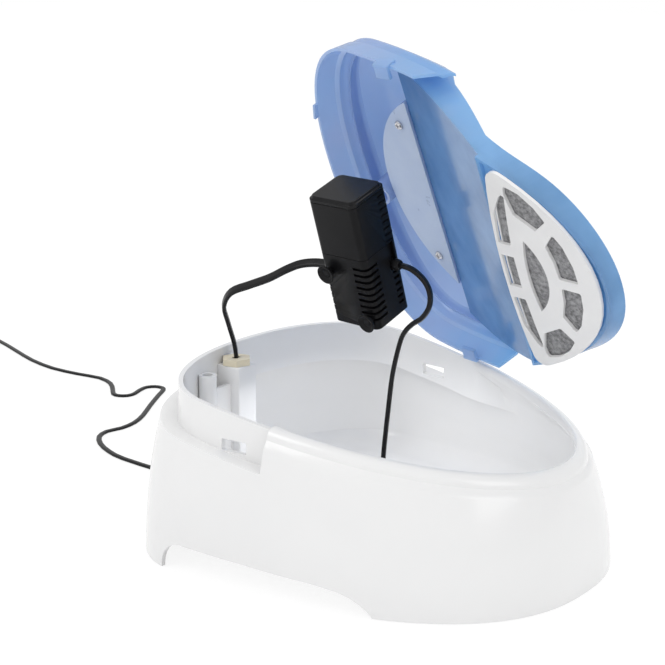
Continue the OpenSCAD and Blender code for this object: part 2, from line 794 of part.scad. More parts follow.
pump_lead_route = [[-107, -27, 112.4], [-107, -29, 123], [-106, -36, 139], [-103, -43, 152], [-94, -46, 163],
                   [-78, -46, 170], [-61, -46, 177], [-48, -45, 184], [-38, -42.5, 188.5], [-28, -40, 190.3],
                   [-19.2, -39, 190.4]];
lamp_lead_route = [[29.1, -27.3, 193.9], [36, -26.5, 192.5], [41.5, -24, 188], [45, -21.5, 182],
                   [46.5, -20.5, 175], [46, -21.5, 168], [43, -24.5, 162], [39, -28.5, 158.5],
                   [36.5, -33, 154], [35.5, -37, 147], [33, -40.5, 128], [31, -42, 105], [28.5, -42.5, 80],
                   [27, -43.5, 55], [24, -46, 35], [17, -50, 25], [6.7, -52.8, 22.5]];
tower_lead_route = [[-143, -0.3, 11.8], [-134, -3, 10.5], [-123, -12, 9], [-113, -22, 9.5], [-108, -26.5, 15],
                    [-107, -27, 26], [-107, -27, 60], [-107, -27, 98.9]];
cord_exit = [-foot_len / 2, 0, 12];
bush_r = 4.2;
bush_lip = 1.6;
bush_lip_t = 1.4;
bush_play = 0.103;
bush_seat = skirt_back(cord_exit[2] + bush_r + bush_lip) + bush_lip_t + bush_play;
supply_route = [[-157.7, 0, 12], [-166, 0, 10.5], [-178, 0, 6], [-192, 0, 2.4], [-210, 1, 1.3],
                [-230, 1, 1.3], [-250, 3, 1.3], [-271, 8, 1.3], [-290, 17, 1.3], [-304, 29, 1.3],
                [-309, 42, 1.3],
                [-306, 56, 1.3], [-308, 72, 1.3], [-316, 90, 1.3], [-331, 114, 1.3], [-348, 140, 1.3],
                [-360, 158, 1.3], [-371, 164, 1.3], [-374, 154, 1.3], [-368, 138, 1.3], [-366, 124, 1.3],
                [-374, 117, 1.3], [-388, 130, 1.3], [-406, 142, 1.3], [-426, 147, 1.3], [-452, 144, 1.3],
                [-484, 143, 1.3], [-520, 150, 1.3], [-557, 163, 1.3], [-600, 178, 1.3], [-630, 182, 1.3],
                [-657.3, 173.8, 1.3]];
coil_at = [-676, 142, 0];
coil_mid_r = 27;
coil_half = 8;
coil_h = 15;

module pump_lead() color("#111112") flat_tube(curve(pump_lead_route, 2), lead_w, lead_t, [0.75, 0.6, 0.1]);
module lamp_lead() color("#111112") flat_tube(curve(lamp_lead_route, 2), lead_t, lead_w * 0.8, [0.3, 1, 0]);
module lamp_capsule() color("mistyrose")
    translate([6, -53, 22.3]) rotate([0, -90, 18]) rotate_extrude($fn = 40)
        polygon([[0, 0], [3, 0], [5.2, 2.4], [5.2, 15], [3.6, 18.4], [0, 19.6]]);
module tower_lead() color("#111112") flat_tube(tower_lead_route, lead_t, lead_w, [1, 0.2, 0]);

module cord_bush() color("#111112")
    translate([bush_seat, cord_exit[1], cord_exit[2]])
        rotate([0, -90, 0]) rotate_extrude($fn = 32)
            polygon([[0, 0], [bush_r + bush_lip, 0], [bush_r + bush_lip, bush_lip_t],
                     [bush_r, bush_lip_t], [bush_r, 8], [3, 13], [0, 13]]);
module supply_cord() color("#111112") flat_tube(supply_route, cord_w, cord_t, [0, 0, 1]);
adapter_at = [-745, 120, 0];
adapter_half = 21;
// The cord's last stretch, from the coil to just short of the adapter.
cord_tail = [[-706, 134, 7], [-711, 128, 8.6], [-716, 121.6, 10.4],
             [adapter_at[0] + adapter_half + 0.7, 120.5, 11]];
module cord_coil() color("#111112") {
    translate(coil_at)
        rotate_extrude($fn = 72)
            translate([coil_mid_r, 0])
                polygon([[-coil_half, 1], [-coil_half + 2, 0], [coil_half - 2, 0], [coil_half, 1],
                         [coil_half, coil_h - 2], [coil_half - 2, coil_h], [-coil_half + 2, coil_h],
                         [-coil_half, coil_h - 2]]);
    flat_tube(cord_tail, cord_w, cord_t, [0, 0, 1]);
}
module adapter_body() color("#141416") translate(adapter_at)
    hull() {
        for (x = [4 - adapter_half, adapter_half - 4]) for (y = [-13, 13])
            translate([x, y, 0]) cylinder(h = 22, r = 4, $fn = 32);
    }
module adapter_pins() color("silver") translate(adapter_at)
    for (y = [-6, 6])
        translate([-adapter_half, y, 11]) rotate([0, -90, 0]) cylinder(h = 16, r = 2, $fn = 32);

tank_base();
foot_pads();
cable_grommet();
lid_shell();
duct_cover();
duct_screws();
filter_pad();
filter_grille();
pump_housing();
pump_strainer();
pump_cap();
stator_core();
stator_coil();
impeller();
impeller_magnet();
impeller_shaft();
shaft_bushes();
volute_plate();
pump_outlet();
suction_cups();
lead_glands();
pump_lead();
lamp_lead();
lamp_capsule();
tower_lead();
cord_bush();
supply_cord();
cord_coil();
adapter_body();
adapter_pins();
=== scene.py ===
"""Looks of a pet water fountain that is opened for cleaning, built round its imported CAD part."""

import logging
import math
from collections.abc import Callable, Sequence
from dataclasses import astuple, dataclass, replace
from enum import Enum

import bmesh
import bpy
from mathutils import Euler, Matrix, Vector, noise


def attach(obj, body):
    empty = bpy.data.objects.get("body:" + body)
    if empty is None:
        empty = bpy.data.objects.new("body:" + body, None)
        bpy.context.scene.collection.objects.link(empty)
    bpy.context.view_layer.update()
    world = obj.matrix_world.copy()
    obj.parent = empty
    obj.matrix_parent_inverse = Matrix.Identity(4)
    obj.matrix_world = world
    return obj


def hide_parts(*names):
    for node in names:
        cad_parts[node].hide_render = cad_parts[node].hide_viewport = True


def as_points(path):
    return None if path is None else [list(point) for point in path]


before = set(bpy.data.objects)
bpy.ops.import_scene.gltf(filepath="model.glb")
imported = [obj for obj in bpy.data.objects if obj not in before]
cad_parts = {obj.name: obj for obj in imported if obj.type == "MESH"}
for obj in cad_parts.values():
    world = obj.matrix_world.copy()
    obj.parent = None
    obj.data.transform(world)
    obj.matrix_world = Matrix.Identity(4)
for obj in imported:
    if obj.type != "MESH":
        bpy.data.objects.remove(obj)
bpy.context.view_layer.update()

LOG = logging.getLogger("fountain")
MM = 0.001
FAR = 400.0
SHARP_ANGLE = 30.0
PLASTIC_IOR = 1.47
COAT_ROUGHNESS = 0.06
LEAST_ROUGHNESS = 0.02
COLOUR_STOPS = (0.3, 0.7)
Piece = bpy.types.Object
Tree = bpy.types.NodeTree
Socket = bpy.types.NodeSocket
Place = Callable[[float], Vector]
Pair = tuple[float, float]
Triple = tuple[float, float, float]


# ---- finishes -----------------------------------------------------------------


class Pattern(Enum):
    """What a cloudy pattern is for, as (noise detail, noise roughness)."""

    COLOUR = (4.0, 0.6)
    GLOSS = (5.0, 0.55)
    # clouds that stir the painted highlight and painted shade of the lid's blue
    PAINTED_SHADING = (3.0, 0.55)
    MOULDED = (2.0, 0.4)
    SPARKED = (6.0, 0.7)
    FIBRE = (9.0, 0.8)


@dataclass(frozen=True)
class Finish:
    """One surface finish: a colour with its mottling, a gloss and a fine grain.

    Sizes and depths are in metres. The glow is the share of light that scatters below the surface, the
    veil is the share that comes through a thin wall, and the shine is how strongly it reflects.
    """

    name: str
    colour: Triple
    shade: Triple
    roughness: float
    grain: Pattern = Pattern.MOULDED
    grain_size: float = 0.0012
    grain_depth: float = 0.00004
    mottle_size: float = 0.03
    gloss_spread: float = 0.05
    metallic: float = 0.0
    coat: float = 0.0
    transmission: float = 0.0
    glow: float = 0.0
    glow_depth: float = 0.004
    sheen: float = 0.0
    veil: float = 0.0
    shine: float = 0.5
    stretch: Triple = (1.0, 1.0, 1.0)

    def make(self) -> bpy.types.Material:
        """Makes the node material of this finish.

        Returns:
            The material, or the one that was made before under the same name.
        """
        known = bpy.data.materials.get(self.name)
        if known:
            return known
        material = bpy.data.materials.new(self.name)
        material.use_nodes = True
        tree = material.node_tree
        shader = tree.nodes["Principled BSDF"]
        where = self.scaled(tree)
        self.paint(tree, shader, where)
        self.roughen(tree, shader, where)
        shader.inputs["Metallic"].default_value = self.metallic
        shader.inputs["Specular IOR Level"].default_value = self.shine
        shader.inputs["Coat Weight"].default_value = self.coat
        shader.inputs["Coat Roughness"].default_value = COAT_ROUGHNESS
        shader.inputs["Transmission Weight"].default_value = self.transmission
        shader.inputs["Subsurface Weight"].default_value = self.glow
        shader.inputs["Subsurface Radius"].default_value = self.colour
        shader.inputs["Subsurface Scale"].default_value = self.glow_depth
        shader.inputs["Sheen Weight"].default_value = self.sheen
        shader.inputs["IOR"].default_value = PLASTIC_IOR
        if self.veil > 0.0:
            self.let_through(tree, shader)
        return material

    def let_through(self, tree: Tree, shader: bpy.types.Node) -> None:
        """Lets part of the light that falls on the far side of a thin wall come through it.

        Args:
            tree: The material's node tree.
            shader: The shader that gives the wall's own surface.
        """
        through = tree.nodes.new("ShaderNodeBsdfTranslucent")
        tree.links.new(shader.inputs["Base Color"].links[0].from_socket, through.inputs["Color"])
        blend = tree.nodes.new("ShaderNodeMixShader")
        blend.inputs["Fac"].default_value = self.veil
        tree.links.new(shader.outputs["BSDF"], blend.inputs[1])
        tree.links.new(through.outputs["BSDF"], blend.inputs[2])
        tree.links.new(blend.outputs["Shader"], tree.nodes["Material Output"].inputs["Surface"])

    def scaled(self, tree: Tree) -> Socket:
        """Adds the coordinates that the patterns are laid in.

        Args:
            tree: The material's node tree.

        Returns:
            The socket that gives the stretched object coordinates.
        """
        source = tree.nodes.new("ShaderNodeTexCoord")
        mapping = tree.nodes.new("ShaderNodeMapping")
        mapping.inputs["Scale"].default_value = self.stretch
        tree.links.new(source.outputs["Object"], mapping.inputs["Vector"])
        return mapping.outputs["Vector"]

    def clouds(self, tree: Tree, where: Socket, size: float, pattern: Pattern) -> Socket:
        """Adds a cloudy pattern.

        Args:
            tree: The material's node tree.
            where: The coordinates.
            size: The size of a cloud in metres.
            pattern: What the clouds are for, which sets how fine they are.

        Returns:
            The socket of the pattern, from 0 to 1.
        """
        cloud = tree.nodes.new("ShaderNodeTexNoise")
        cloud.inputs["Scale"].default_value = 1.0 / size
        cloud.inputs["Detail"].default_value, cloud.inputs["Roughness"].default_value = pattern.value
        tree.links.new(where, cloud.inputs["Vector"])
        return cloud.outputs["Fac"]

    def paint(self, tree: Tree, shader: bpy.types.Node, where: Socket) -> None:
        """Blends the colour and its shade in soft clouds.

        Args:
            tree: The material's node tree.
            shader: The shader that takes the colour.
            where: The coordinates.
        """
        ramp = tree.nodes.new("ShaderNodeValToRGB")
        for stop, at, tone in zip(ramp.color_ramp.elements, COLOUR_STOPS, (self.shade, self.colour)):
            stop.position = at
            stop.color = (*tone, 1.0)
        tree.links.new(self.clouds(tree, where, self.mottle_size, Pattern.COLOUR), ramp.inputs["Fac"])
        tree.links.new(ramp.outputs["Color"], shader.inputs["Base Color"])

    def roughen(self, tree: Tree, shader: bpy.types.Node, where: Socket) -> None:
        """Gives the surface its uneven gloss and its fine grain.

        Args:
            tree: The material's node tree.
            shader: The shader that takes roughness and normal.
            where: The coordinates.
        """
        spread = tree.nodes.new("ShaderNodeMapRange")
        spread.inputs["To Min"].default_value = max(LEAST_ROUGHNESS, self.roughness - self.gloss_spread)
        spread.inputs["To Max"].default_value = min(1.0, self.roughness + self.gloss_spread)
        tree.links.new(self.clouds(tree, where, self.mottle_size / 2, Pattern.GLOSS), spread.inputs["Value"])
        tree.links.new(spread.outputs["Result"], shader.inputs["Roughness"])
        bump = tree.nodes.new("ShaderNodeBump")
        bump.inputs["Strength"].default_value = 1.0
        bump.inputs["Distance"].default_value = self.grain_depth
        tree.links.new(self.clouds(tree, where, self.grain_size, self.grain), bump.inputs["Height"])
        tree.links.new(bump.outputs["Normal"], shader.inputs["Normal"])


@dataclass(frozen=True)
class ShadePaintedFinish(Finish):
    """A finish with painted light: it runs from a painted highlight to a painted shade by a per-face
    attribute of the piece.
    """

    # The pale blue is a painted highlight and the deep blue is a painted shade.
    painted_highlight: Triple = (0.6, 0.7, 0.9)
    deep: Triple = (0.1, 0.3, 0.55)
    cloudiness: float = 0.16

    def paint(self, tree: Tree, shader: bpy.types.Node, where: Socket) -> None:
        """Runs the colour from the painted highlight to the painted shade by the piece's attribute, stirred
        by soft clouds.

        Args:
            tree: The material's node tree.
            shader: The shader that takes the colour.
            where: The coordinates.
        """
        # painted light and shade: a per-face attribute sets how far each face is painted from highlight to
        # shade
        painted_shading = tree.nodes.new("ShaderNodeAttribute")
        painted_shading.attribute_name = "painted_shading"
        stir = tree.nodes.new("ShaderNodeMapRange")
        stir.inputs["To Min"].default_value = -self.cloudiness
        stir.inputs["To Max"].default_value = self.cloudiness
        tree.links.new(self.clouds(tree, where, self.mottle_size, Pattern.PAINTED_SHADING), stir.inputs["Value"])
        total = tree.nodes.new("ShaderNodeMath")
        tree.links.new(painted_shading.outputs["Fac"], total.inputs[0])
        tree.links.new(stir.outputs["Result"], total.inputs[1])
        ramp = tree.nodes.new("ShaderNodeValToRGB")
        ramp.color_ramp.elements[0].color = (*self.painted_highlight, 1.0)
        ramp.color_ramp.elements[1].color = (*self.deep, 1.0)
        ramp.color_ramp.elements.new(0.5).color = (*self.colour, 1.0)
        tree.links.new(total.outputs[0], ramp.inputs["Fac"])
        tree.links.new(ramp.outputs["Color"], shader.inputs["Base Color"])


TANK_WHITE = Finish(
    "tank_white", (0.85, 0.85, 0.85), (0.83, 0.83, 0.833), 0.2, grain_size=0.006, grain_depth=0.00002,
    mottle_size=0.09, coat=0.25,
)
GRILLE_WHITE = Finish(
    "grille_white", (0.84, 0.84, 0.84), (0.8, 0.8, 0.805), 0.32, grain_size=0.0015, grain_depth=0.00002,
    coat=0.1,
)
IVORY = Finish("ivory_nylon", (0.79, 0.72, 0.56), (0.72, 0.65, 0.49), 0.42, mottle_size=0.008, glow=0.1)
# The lid's blue carries painted light: a painted highlight on the hood's rear and a painted shade on the
# ramp and in front.
LID_BLUE = ShadePaintedFinish(
    "lid_blue", (0.4, 0.68, 0.96), (0.4, 0.67, 0.95), 0.12, grain_size=0.008, grain_depth=0.00003,
    mottle_size=0.035, transmission=0.3, coat=0.6, veil=0.4, painted_highlight=(0.55, 0.67, 0.91),
    deep=(0.13, 0.33, 0.6), cloudiness=0.24,
)
DUCT_CLEAR = Finish(
    "duct_clear", (0.66, 0.77, 0.93), (0.56, 0.68, 0.88), 0.32, grain_size=0.004, grain_depth=0.00004,
    mottle_size=0.045, gloss_spread=0.12, transmission=0.1, coat=0.1, veil=0.25,
)
PUMP_BLACK = Finish(
    "pump_black", (0.007, 0.007, 0.008), (0.004, 0.004, 0.005), 0.33, grain=Pattern.SPARKED,
    grain_size=0.0009, grain_depth=0.00005, mottle_size=0.02, gloss_spread=0.08, coat=0.02, shine=0.14,
)
CAP_BLACK = Finish(
    "cap_black", (0.009, 0.009, 0.01), (0.006, 0.006, 0.007), 0.24, grain=Pattern.SPARKED,
    grain_size=0.0012, grain_depth=0.00003, mottle_size=0.02, coat=0.04, shine=0.16,
)
SOFT_BLACK = Finish(
    "soft_rubber", (0.01, 0.01, 0.011), (0.006, 0.006, 0.007), 0.46, grain=Pattern.SPARKED,
    grain_size=0.0007, grain_depth=0.00004, mottle_size=0.006, gloss_spread=0.1, shine=0.18,
)
SHEATH_BLACK = Finish(
    "cord_sheath", (0.008, 0.008, 0.009), (0.005, 0.005, 0.006), 0.3, grain_size=0.002,
    grain_depth=0.00005, mottle_size=0.012, gloss_spread=0.1, coat=0.05, shine=0.22,
)
PAD_GREY = Finish(
    "foot_rubber", (0.05, 0.05, 0.052), (0.035, 0.035, 0.037), 0.75, grain=Pattern.SPARKED,
    grain_size=0.0008, grain_depth=0.0001, mottle_size=0.01, gloss_spread=0.1,
)
FELT_GREY = Finish(
    "carbon_felt", (0.42, 0.42, 0.435), (0.085, 0.085, 0.09), 0.95, grain=Pattern.FIBRE,
    grain_size=0.0011, grain_depth=0.0007, mottle_size=0.0026, gloss_spread=0.04, sheen=0.4,
)
BRIGHT_STEEL = Finish(
    "bright_steel", (0.66, 0.66, 0.68), (0.56, 0.56, 0.58), 0.26, metallic=1.0, grain_size=0.0006,
    grain_depth=0.00002, mottle_size=0.003, stretch=(1.0, 1.0, 5.0),
)
CORE_STEEL = Finish(
    "core_steel", (0.4, 0.41, 0.43), (0.28, 0.29, 0.31), 0.45, metallic=0.9, grain_size=0.0008,
    grain_depth=0.0001, mottle_size=0.004, stretch=(1.0, 6.0, 1.0),
)
COPPER_WIRE = Finish(
    "copper_wire", (0.62, 0.27, 0.1), (0.42, 0.17, 0.06), 0.3, metallic=0.8, grain_size=0.0005,
    grain_depth=0.0002, mottle_size=0.003, stretch=(8.0, 1.0, 1.0),
)
MAGNET_GREY = Finish(
    "magnet_ferrite", (0.03, 0.03, 0.032), (0.02, 0.02, 0.022), 0.55, grain=Pattern.SPARKED,
    grain_size=0.0005, grain_depth=0.00005,
)
CERAMIC = Finish("shaft_ceramic", (0.82, 0.8, 0.74), (0.78, 0.75, 0.68), 0.12, mottle_size=0.004, coat=0.4)
LENS_PINK = Finish(
    "lamp_lens", (0.72, 0.46, 0.43), (0.66, 0.4, 0.37), 0.15, transmission=0.55, mottle_size=0.01,
    coat=0.3,
)


# ---- forming helpers ------------------------------------------------------------


class Cut(Enum):
    """How a tool changes the body that it meets."""

    AWAY = "DIFFERENCE"
    ONTO = "UNION"
    WITHIN = "INTERSECT"


def new_piece(name: str, bm: bmesh.types.BMesh) -> Piece:
    """Turns a bmesh into an object.

    Args:
        name: The piece's name.
        bm: The mesh, which is freed.

    Returns:
        The object, at the origin, still in millimetres.
    """
    mesh = bpy.data.meshes.new(name)
    bm.to_mesh(mesh)
    bm.free()
    piece = bpy.data.objects.new(name, mesh)
    bpy.context.scene.collection.objects.link(piece)
    return piece


def carve(body: Piece, tools: Sequence[Piece], how: Cut = Cut.AWAY) -> Piece:
    """Cuts, joins or keeps the overlap of a body with each tool in turn.

    Args:
        body: The closed body that is changed.
        tools: The closed tools, which are used up.
        how: What each tool does.

    Returns:
        The body.
    """
    for tool in tools:
        cut = body.modifiers.new("cut", "BOOLEAN")
        cut.operation = how.value
        cut.solver = "MANIFOLD"
        cut.object = tool
    bpy.context.view_layer.update()
    shaped = body.evaluated_get(bpy.context.evaluated_depsgraph_get())
    mesh = bpy.data.meshes.new_from_object(shaped)
    old = body.data
    body.modifiers.clear()
    body.data = mesh
    bpy.data.meshes.remove(old)
    for tool in tools:
        bpy.data.meshes.remove(tool.data)
    return body


def loft(name: str, rings: Sequence[Place], segments: int = 144) -> Piece:
    """A closed solid through rings, capped flat at both ends.

    Args:
        name: The solid's name.
        rings: For each ring, the place of the point at a given turn.
        segments: How many points a ring has.

    Returns:
        The solid.
    """
    bm = bmesh.new()
    turn = bm.verts.layers.float.new("turn")
    circle = bmesh.ops.create_circle(bm, cap_ends=False, segments=segments, radius=1.0)
    for v in circle["verts"]:
        v[turn] = math.atan2(v.co.y, v.co.x)
        v.co = rings[0](v[turn])
    edge_loop = list(bm.edges)
    bmesh.ops.contextual_create(bm, geom=edge_loop)
    for place in rings[1:]:
        grown = bmesh.ops.extrude_edge_only(bm, edges=edge_loop)["geom"]
        fresh = {g for g in grown if isinstance(g, bmesh.types.BMVert)}
        for v in fresh:
            v.co = place(v[turn])
        edge_loop = [e for e in {e for v in fresh for e in v.link_edges} if set(e.verts) <= fresh]
    bmesh.ops.contextual_create(bm, geom=edge_loop)
    bmesh.ops.recalc_face_normals(bm, faces=bm.faces[:])
    return new_piece(name, bm)


def prism(name: str, outline: Sequence[Pair], low: float, high: float) -> Piece:
    """An upright prism on a flat outline.

    Args:
        name: The prism's name.
        outline: The corners in x and y.
        low: The height of its lower face.
        high: The height of its upper face.

    Returns:
        The prism.
    """
    bm = bmesh.new()
    corners = [bm.verts.new((x, y, low)) for x, y in outline]
    bm.faces.new(corners)
    raised = bmesh.ops.extrude_face_region(bm, geom=bm.faces[:])["geom"]
    top = [g for g in raised if isinstance(g, bmesh.types.BMVert)]
    bmesh.ops.translate(bm, vec=(0.0, 0.0, high - low), verts=top)
    bmesh.ops.recalc_face_normals(bm, faces=bm.faces[:])
    return new_piece(name, bm)


def across(name: str, outline: Sequence[Pair]) -> Piece:
    """A prism across the whole width on a side outline.

    Args:
        name: The prism's name.
        outline: The corners in x and z.

    Returns:
        The prism.
    """
    piece = prism(name, [(x, -z) for x, z in outline], -FAR, FAR)
    piece.data.transform(Matrix.Rotation(math.radians(-90.0), 4, "X"))
    return piece


def upright_turn(degrees: float) -> Matrix:
    """A turn about the upright axis."""
    return Matrix.Rotation(math.radians(degrees), 4, "Z")


def block(name: str, size: Triple, centre: Triple, turn: float = 0.0, edge: float = 0.0) -> Piece:
    """A block with softened edges, turned about its upright axis.

    Args:
        name: The block's name.
        size: Its length, width and height.
        centre: Where its middle is.
        turn: Its turn in degrees.
        edge: The radius of its edges.

    Returns:
        The block.
    """
    bm = bmesh.new()
    bmesh.ops.create_cube(bm, size=1.0)
    bmesh.ops.scale(bm, vec=size, verts=bm.verts[:])
    if edge > 0.0:
        bmesh.ops.bevel(
            bm, geom=bm.edges[:], offset=edge, offset_type="OFFSET", segments=3, profile=0.5, affect="EDGES",
            material=-1,
        )
    bmesh.ops.transform(bm, matrix=upright_turn(turn), verts=bm.verts[:])
    bmesh.ops.translate(bm, vec=centre, verts=bm.verts[:])
    return new_piece(name, bm)


def rod(name: str, radius: float, low: float, high: float, at: Pair, segments: int = 64) -> Piece:
    """An upright round rod.

    Args:
        name: The rod's name.
        radius: Its radius.
        low: The height of its lower end.
        high: The height of its upper end.
        at: Where its axis stands, in x and y.
        segments: How many sides it has.

    Returns:
        The rod.
    """
    bm = bmesh.new()
    bmesh.ops.create_cone(
        bm, cap_ends=True, segments=segments, radius1=radius, radius2=radius, depth=high - low
    )
    bmesh.ops.translate(bm, vec=(at[0], at[1], (low + high) / 2), verts=bm.verts[:])
    return new_piece(name, bm)


def spun(name: str, profile: Sequence[Pair], steps: int = 64) -> Piece:
    """A round solid spun from a profile that starts and ends on its axis.

    Args:
        name: The solid's name.
        profile: Points of radius and height, from one pole to the other.
        steps: How many steps the turn has.

    Returns:
        The solid, with its axis along z.
    """
    bm = bmesh.new()
    line = [bm.verts.new((r, 0.0, z)) for r, z in profile]
    edges = [bm.edges.new(pair) for pair in zip(line, line[1:])]
    bmesh.ops.spin(
        bm, geom=line + edges, axis=(0.0, 0.0, 1.0), cent=(0.0, 0.0, 0.0), angle=math.tau, steps=steps,
        use_merge=True, use_duplicate=False,
    )
    bmesh.ops.remove_doubles(bm, verts=bm.verts[:], dist=1e-4)
    bmesh.ops.recalc_face_normals(bm, faces=bm.faces[:])
    return new_piece(name, bm)


def merged_copy(node: str, name: str) -> Piece:
    """A clean copy of a CAD node: its triangles merged back into flat faces.

    Args:
        node: The CAD node.
        name: The copy's name.

    Returns:
        The copy, in metres.
    """
    bm = bmesh.new()
    bm.from_mesh(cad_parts[node].data)
    bmesh.ops.remove_doubles(bm, verts=bm.verts[:], dist=2e-6)
    bmesh.ops.dissolve_limit(bm, angle_limit=math.radians(0.6), verts=bm.verts[:], edges=bm.edges[:])
    return new_piece(name, bm)


def soften(piece: Piece, width: float, segments: int) -> None:
    """Rounds the sharp edges of a finished piece.

    Args:
        piece: The piece.
        width: The radius in metres.
        segments: How many steps a rounding has.
    """
    bevel = piece.modifiers.new("edges", "BEVEL")
    bevel.width = width
    bevel.segments = segments
    bevel.limit_method = "ANGLE"
    bevel.angle_limit = math.radians(SHARP_ANGLE)
    bevel.use_clamp_overlap = True
    bevel.miter_outer = "MITER_ARC"


@dataclass(frozen=True)
class Fitting:
    """Where a finished piece belongs: its body, the nodes that it stands for, its slot and its finish."""

    body: str
    nodes: tuple[str, ...]
    slot: str
    finish: Finish

    def fit(self, piece: Piece, smooth: float = 32.0) -> Piece:
        """Dresses a piece that is in place, attaches it to its body and hides the CAD nodes that it stands
        for.

        Args:
            piece: The piece, in metres.
            smooth: The least angle in degrees of an edge that stays sharp.

        Returns:
            The piece.
        """
        piece.data.materials.clear()
        piece.data.materials.append(self.finish.make())
        piece.data.shade_smooth()
        piece.data.set_sharp_from_angle(angle=math.radians(smooth))
        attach(piece, self.body)
        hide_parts(*self.nodes)
        LOG.info("%s rides on %s", piece.name, self.body)
        return piece

    def copy(self, name: str, width: float, segments: int = 2) -> Piece:
        """Fits a copy of the CAD node that it stands for, with softened edges.

        Args:
            name: The piece's name.
            width: The radius of its edges in metres.
            segments: How many steps a rounding has.

        Returns:
            The piece.
        """
        piece = merged_copy(self.nodes[0], name)
        soften(piece, width, segments)
        return self.fit(piece)


def settle(piece: Piece, pose: Matrix | None = None) -> Piece:
    """Puts a piece that was drawn in millimetres into its place in metres.

    Args:
        piece: The piece.
        pose: Where it is held, in millimetres, if it isn't where it was drawn.

    Returns:
        The piece.
    """
    piece.data.transform(Matrix.Scale(MM, 4) @ (pose or Matrix.Identity(4)))
    return piece


# ---- the fountain's shared form ---------------------------------------------------


def mix(a: float, b: float, t: float) -> float:
    """The value the share t of the way from a to b."""
    return a + (b - a) * t


def curved(value: float, power: float) -> float:
    """A value raised to a power that keeps its sign."""
    return math.copysign(abs(value) ** power, value)


def spline(
    a: Sequence[float], b: Sequence[float], c: Sequence[float], d: Sequence[float], t: float
) -> tuple[float, ...]:
    """The point at the share t between b and c of a curve through a, b, c and d."""
    return tuple(
        0.5 * (2 * q + (r - p) * t + (2 * p - 5 * q + 4 * r - s) * t * t + (3 * q - p - 3 * r + s) * t**3)
        for p, q, r, s in zip(a, b, c, d)
    )


def curve(points: Sequence[Sequence[float]], between: int) -> list[Sequence[float]]:
    """Puts more points on a smooth curve through given ones.

    Args:
        points: The points.
        between: How many spans each span becomes.

    Returns:
        The finer points.
    """
    fine, last = [], len(points) - 1
    for i in range(last):
        a, b, c, d = points[max(i - 1, 0)], points[i], points[i + 1], points[min(i + 2, last)]
        fine += [spline(a, b, c, d, j / between) for j in range(between)]
    return [*fine, points[-1]]


@dataclass(frozen=True)
class Egg:
    """An egg outline: blunt behind its widest place and long in front of it."""

    middle: float
    rear: float
    front: float
    half: float
    rear_power: float
    front_power: float

    def at(self, turn: float, scale: float = 1.0, inset: float = 0.0) -> Pair:
        """A point of the outline.

        Args:
            turn: The angle from the front, in radians.
            scale: The outline's scale about its widest place.
            inset: How far the outline is drawn in.

        Returns:
            The point's x and y.
        """
        back = math.cos(turn) < 0.0
        reach = (self.rear if back else self.front) * scale - inset
        power = 2.0 / (self.rear_power if back else self.front_power)
        x = self.middle + reach * curved(math.cos(turn), power)
        return x, (self.half * scale - inset) * curved(math.sin(turn), power)

    def toward(self, other: "Egg", share: float) -> "Egg":
        """The outline the given share of the way to another one."""
        return Egg(*(mix(a, b, share) for a, b in zip(astuple(self), astuple(other))))


@dataclass(frozen=True)
class Hull:
    """The sizes that the tank and its lid share, in millimetres."""

    foot: Egg = Egg(-70.5, 79.5, 220.5, 130.0, 2.1, 2.4)
    shoulder: Egg = Egg(-63.5, 63.84, 202.16, 116.0, 2.2, 2.05)
    rim_h: float = 109.5
    rim_fall: float = 0.16
    flare: float = 1.9
    lip_w: float = 8.5
    band_h: float = 25.0
    band_inset: float = 5.5
    step_x: float = -8.5
    pad_proud: float = 0.6

    def rim_z(self, x: float) -> float:
        """The height of the rim plane at a place along the length."""
        return self.rim_h - self.rim_fall * (x - self.shoulder.middle)

    def flank(self, share: float) -> Egg:
        """The flank's outline at the given share of the rim's height."""
        return self.foot.toward(self.shoulder, abs(share) ** self.flare)

    def flat_ring(self, egg: Egg, z: float, inset: float = 0.0) -> Place:
        """A level ring of an outline."""
        return lambda u: Vector((*egg.at(u, 1.0, inset), z))

    def rim_ring(self, egg: Egg, dz: float, inset: float = 0.0, scale: float = 1.0) -> Place:
        """A ring parallel to the rim plane, dz above it."""

        def place(u: float) -> Vector:
            """The ring's point at a turn."""
            x, y = egg.at(u, scale, inset)
            return Vector((x, y, self.rim_z(x) + dz))

        return place

    def flank_ring(self, share: float, inset: float = 0.0) -> Place:
        """A ring round the flank at the given share of the rim's height."""

        def place(u: float) -> Vector:
            """The ring's point at a turn."""
            x, y = self.flank(share).at(u, 1.0, inset)
            return Vector((x, y, share * self.rim_z(x)))

        return place

    def slab(self, name: str, low: float, high: float, x_low: float, x_high: float) -> Piece:
        """A slab between two heights above the rim plane.

        Args:
            name: The slab's name.
            low: The lower height.
            high: The upper height.
            x_low: Where it starts.
            x_high: Where it ends.

        Returns:
            The slab.
        """
        ends = [(x_low, low), (x_high, low), (x_high, high), (x_low, high)]
        return across(name, [(x, self.rim_z(x) + dz) for x, dz in ends])


HULL = Hull()


# ---- tank -------------------------------------------------------------------------


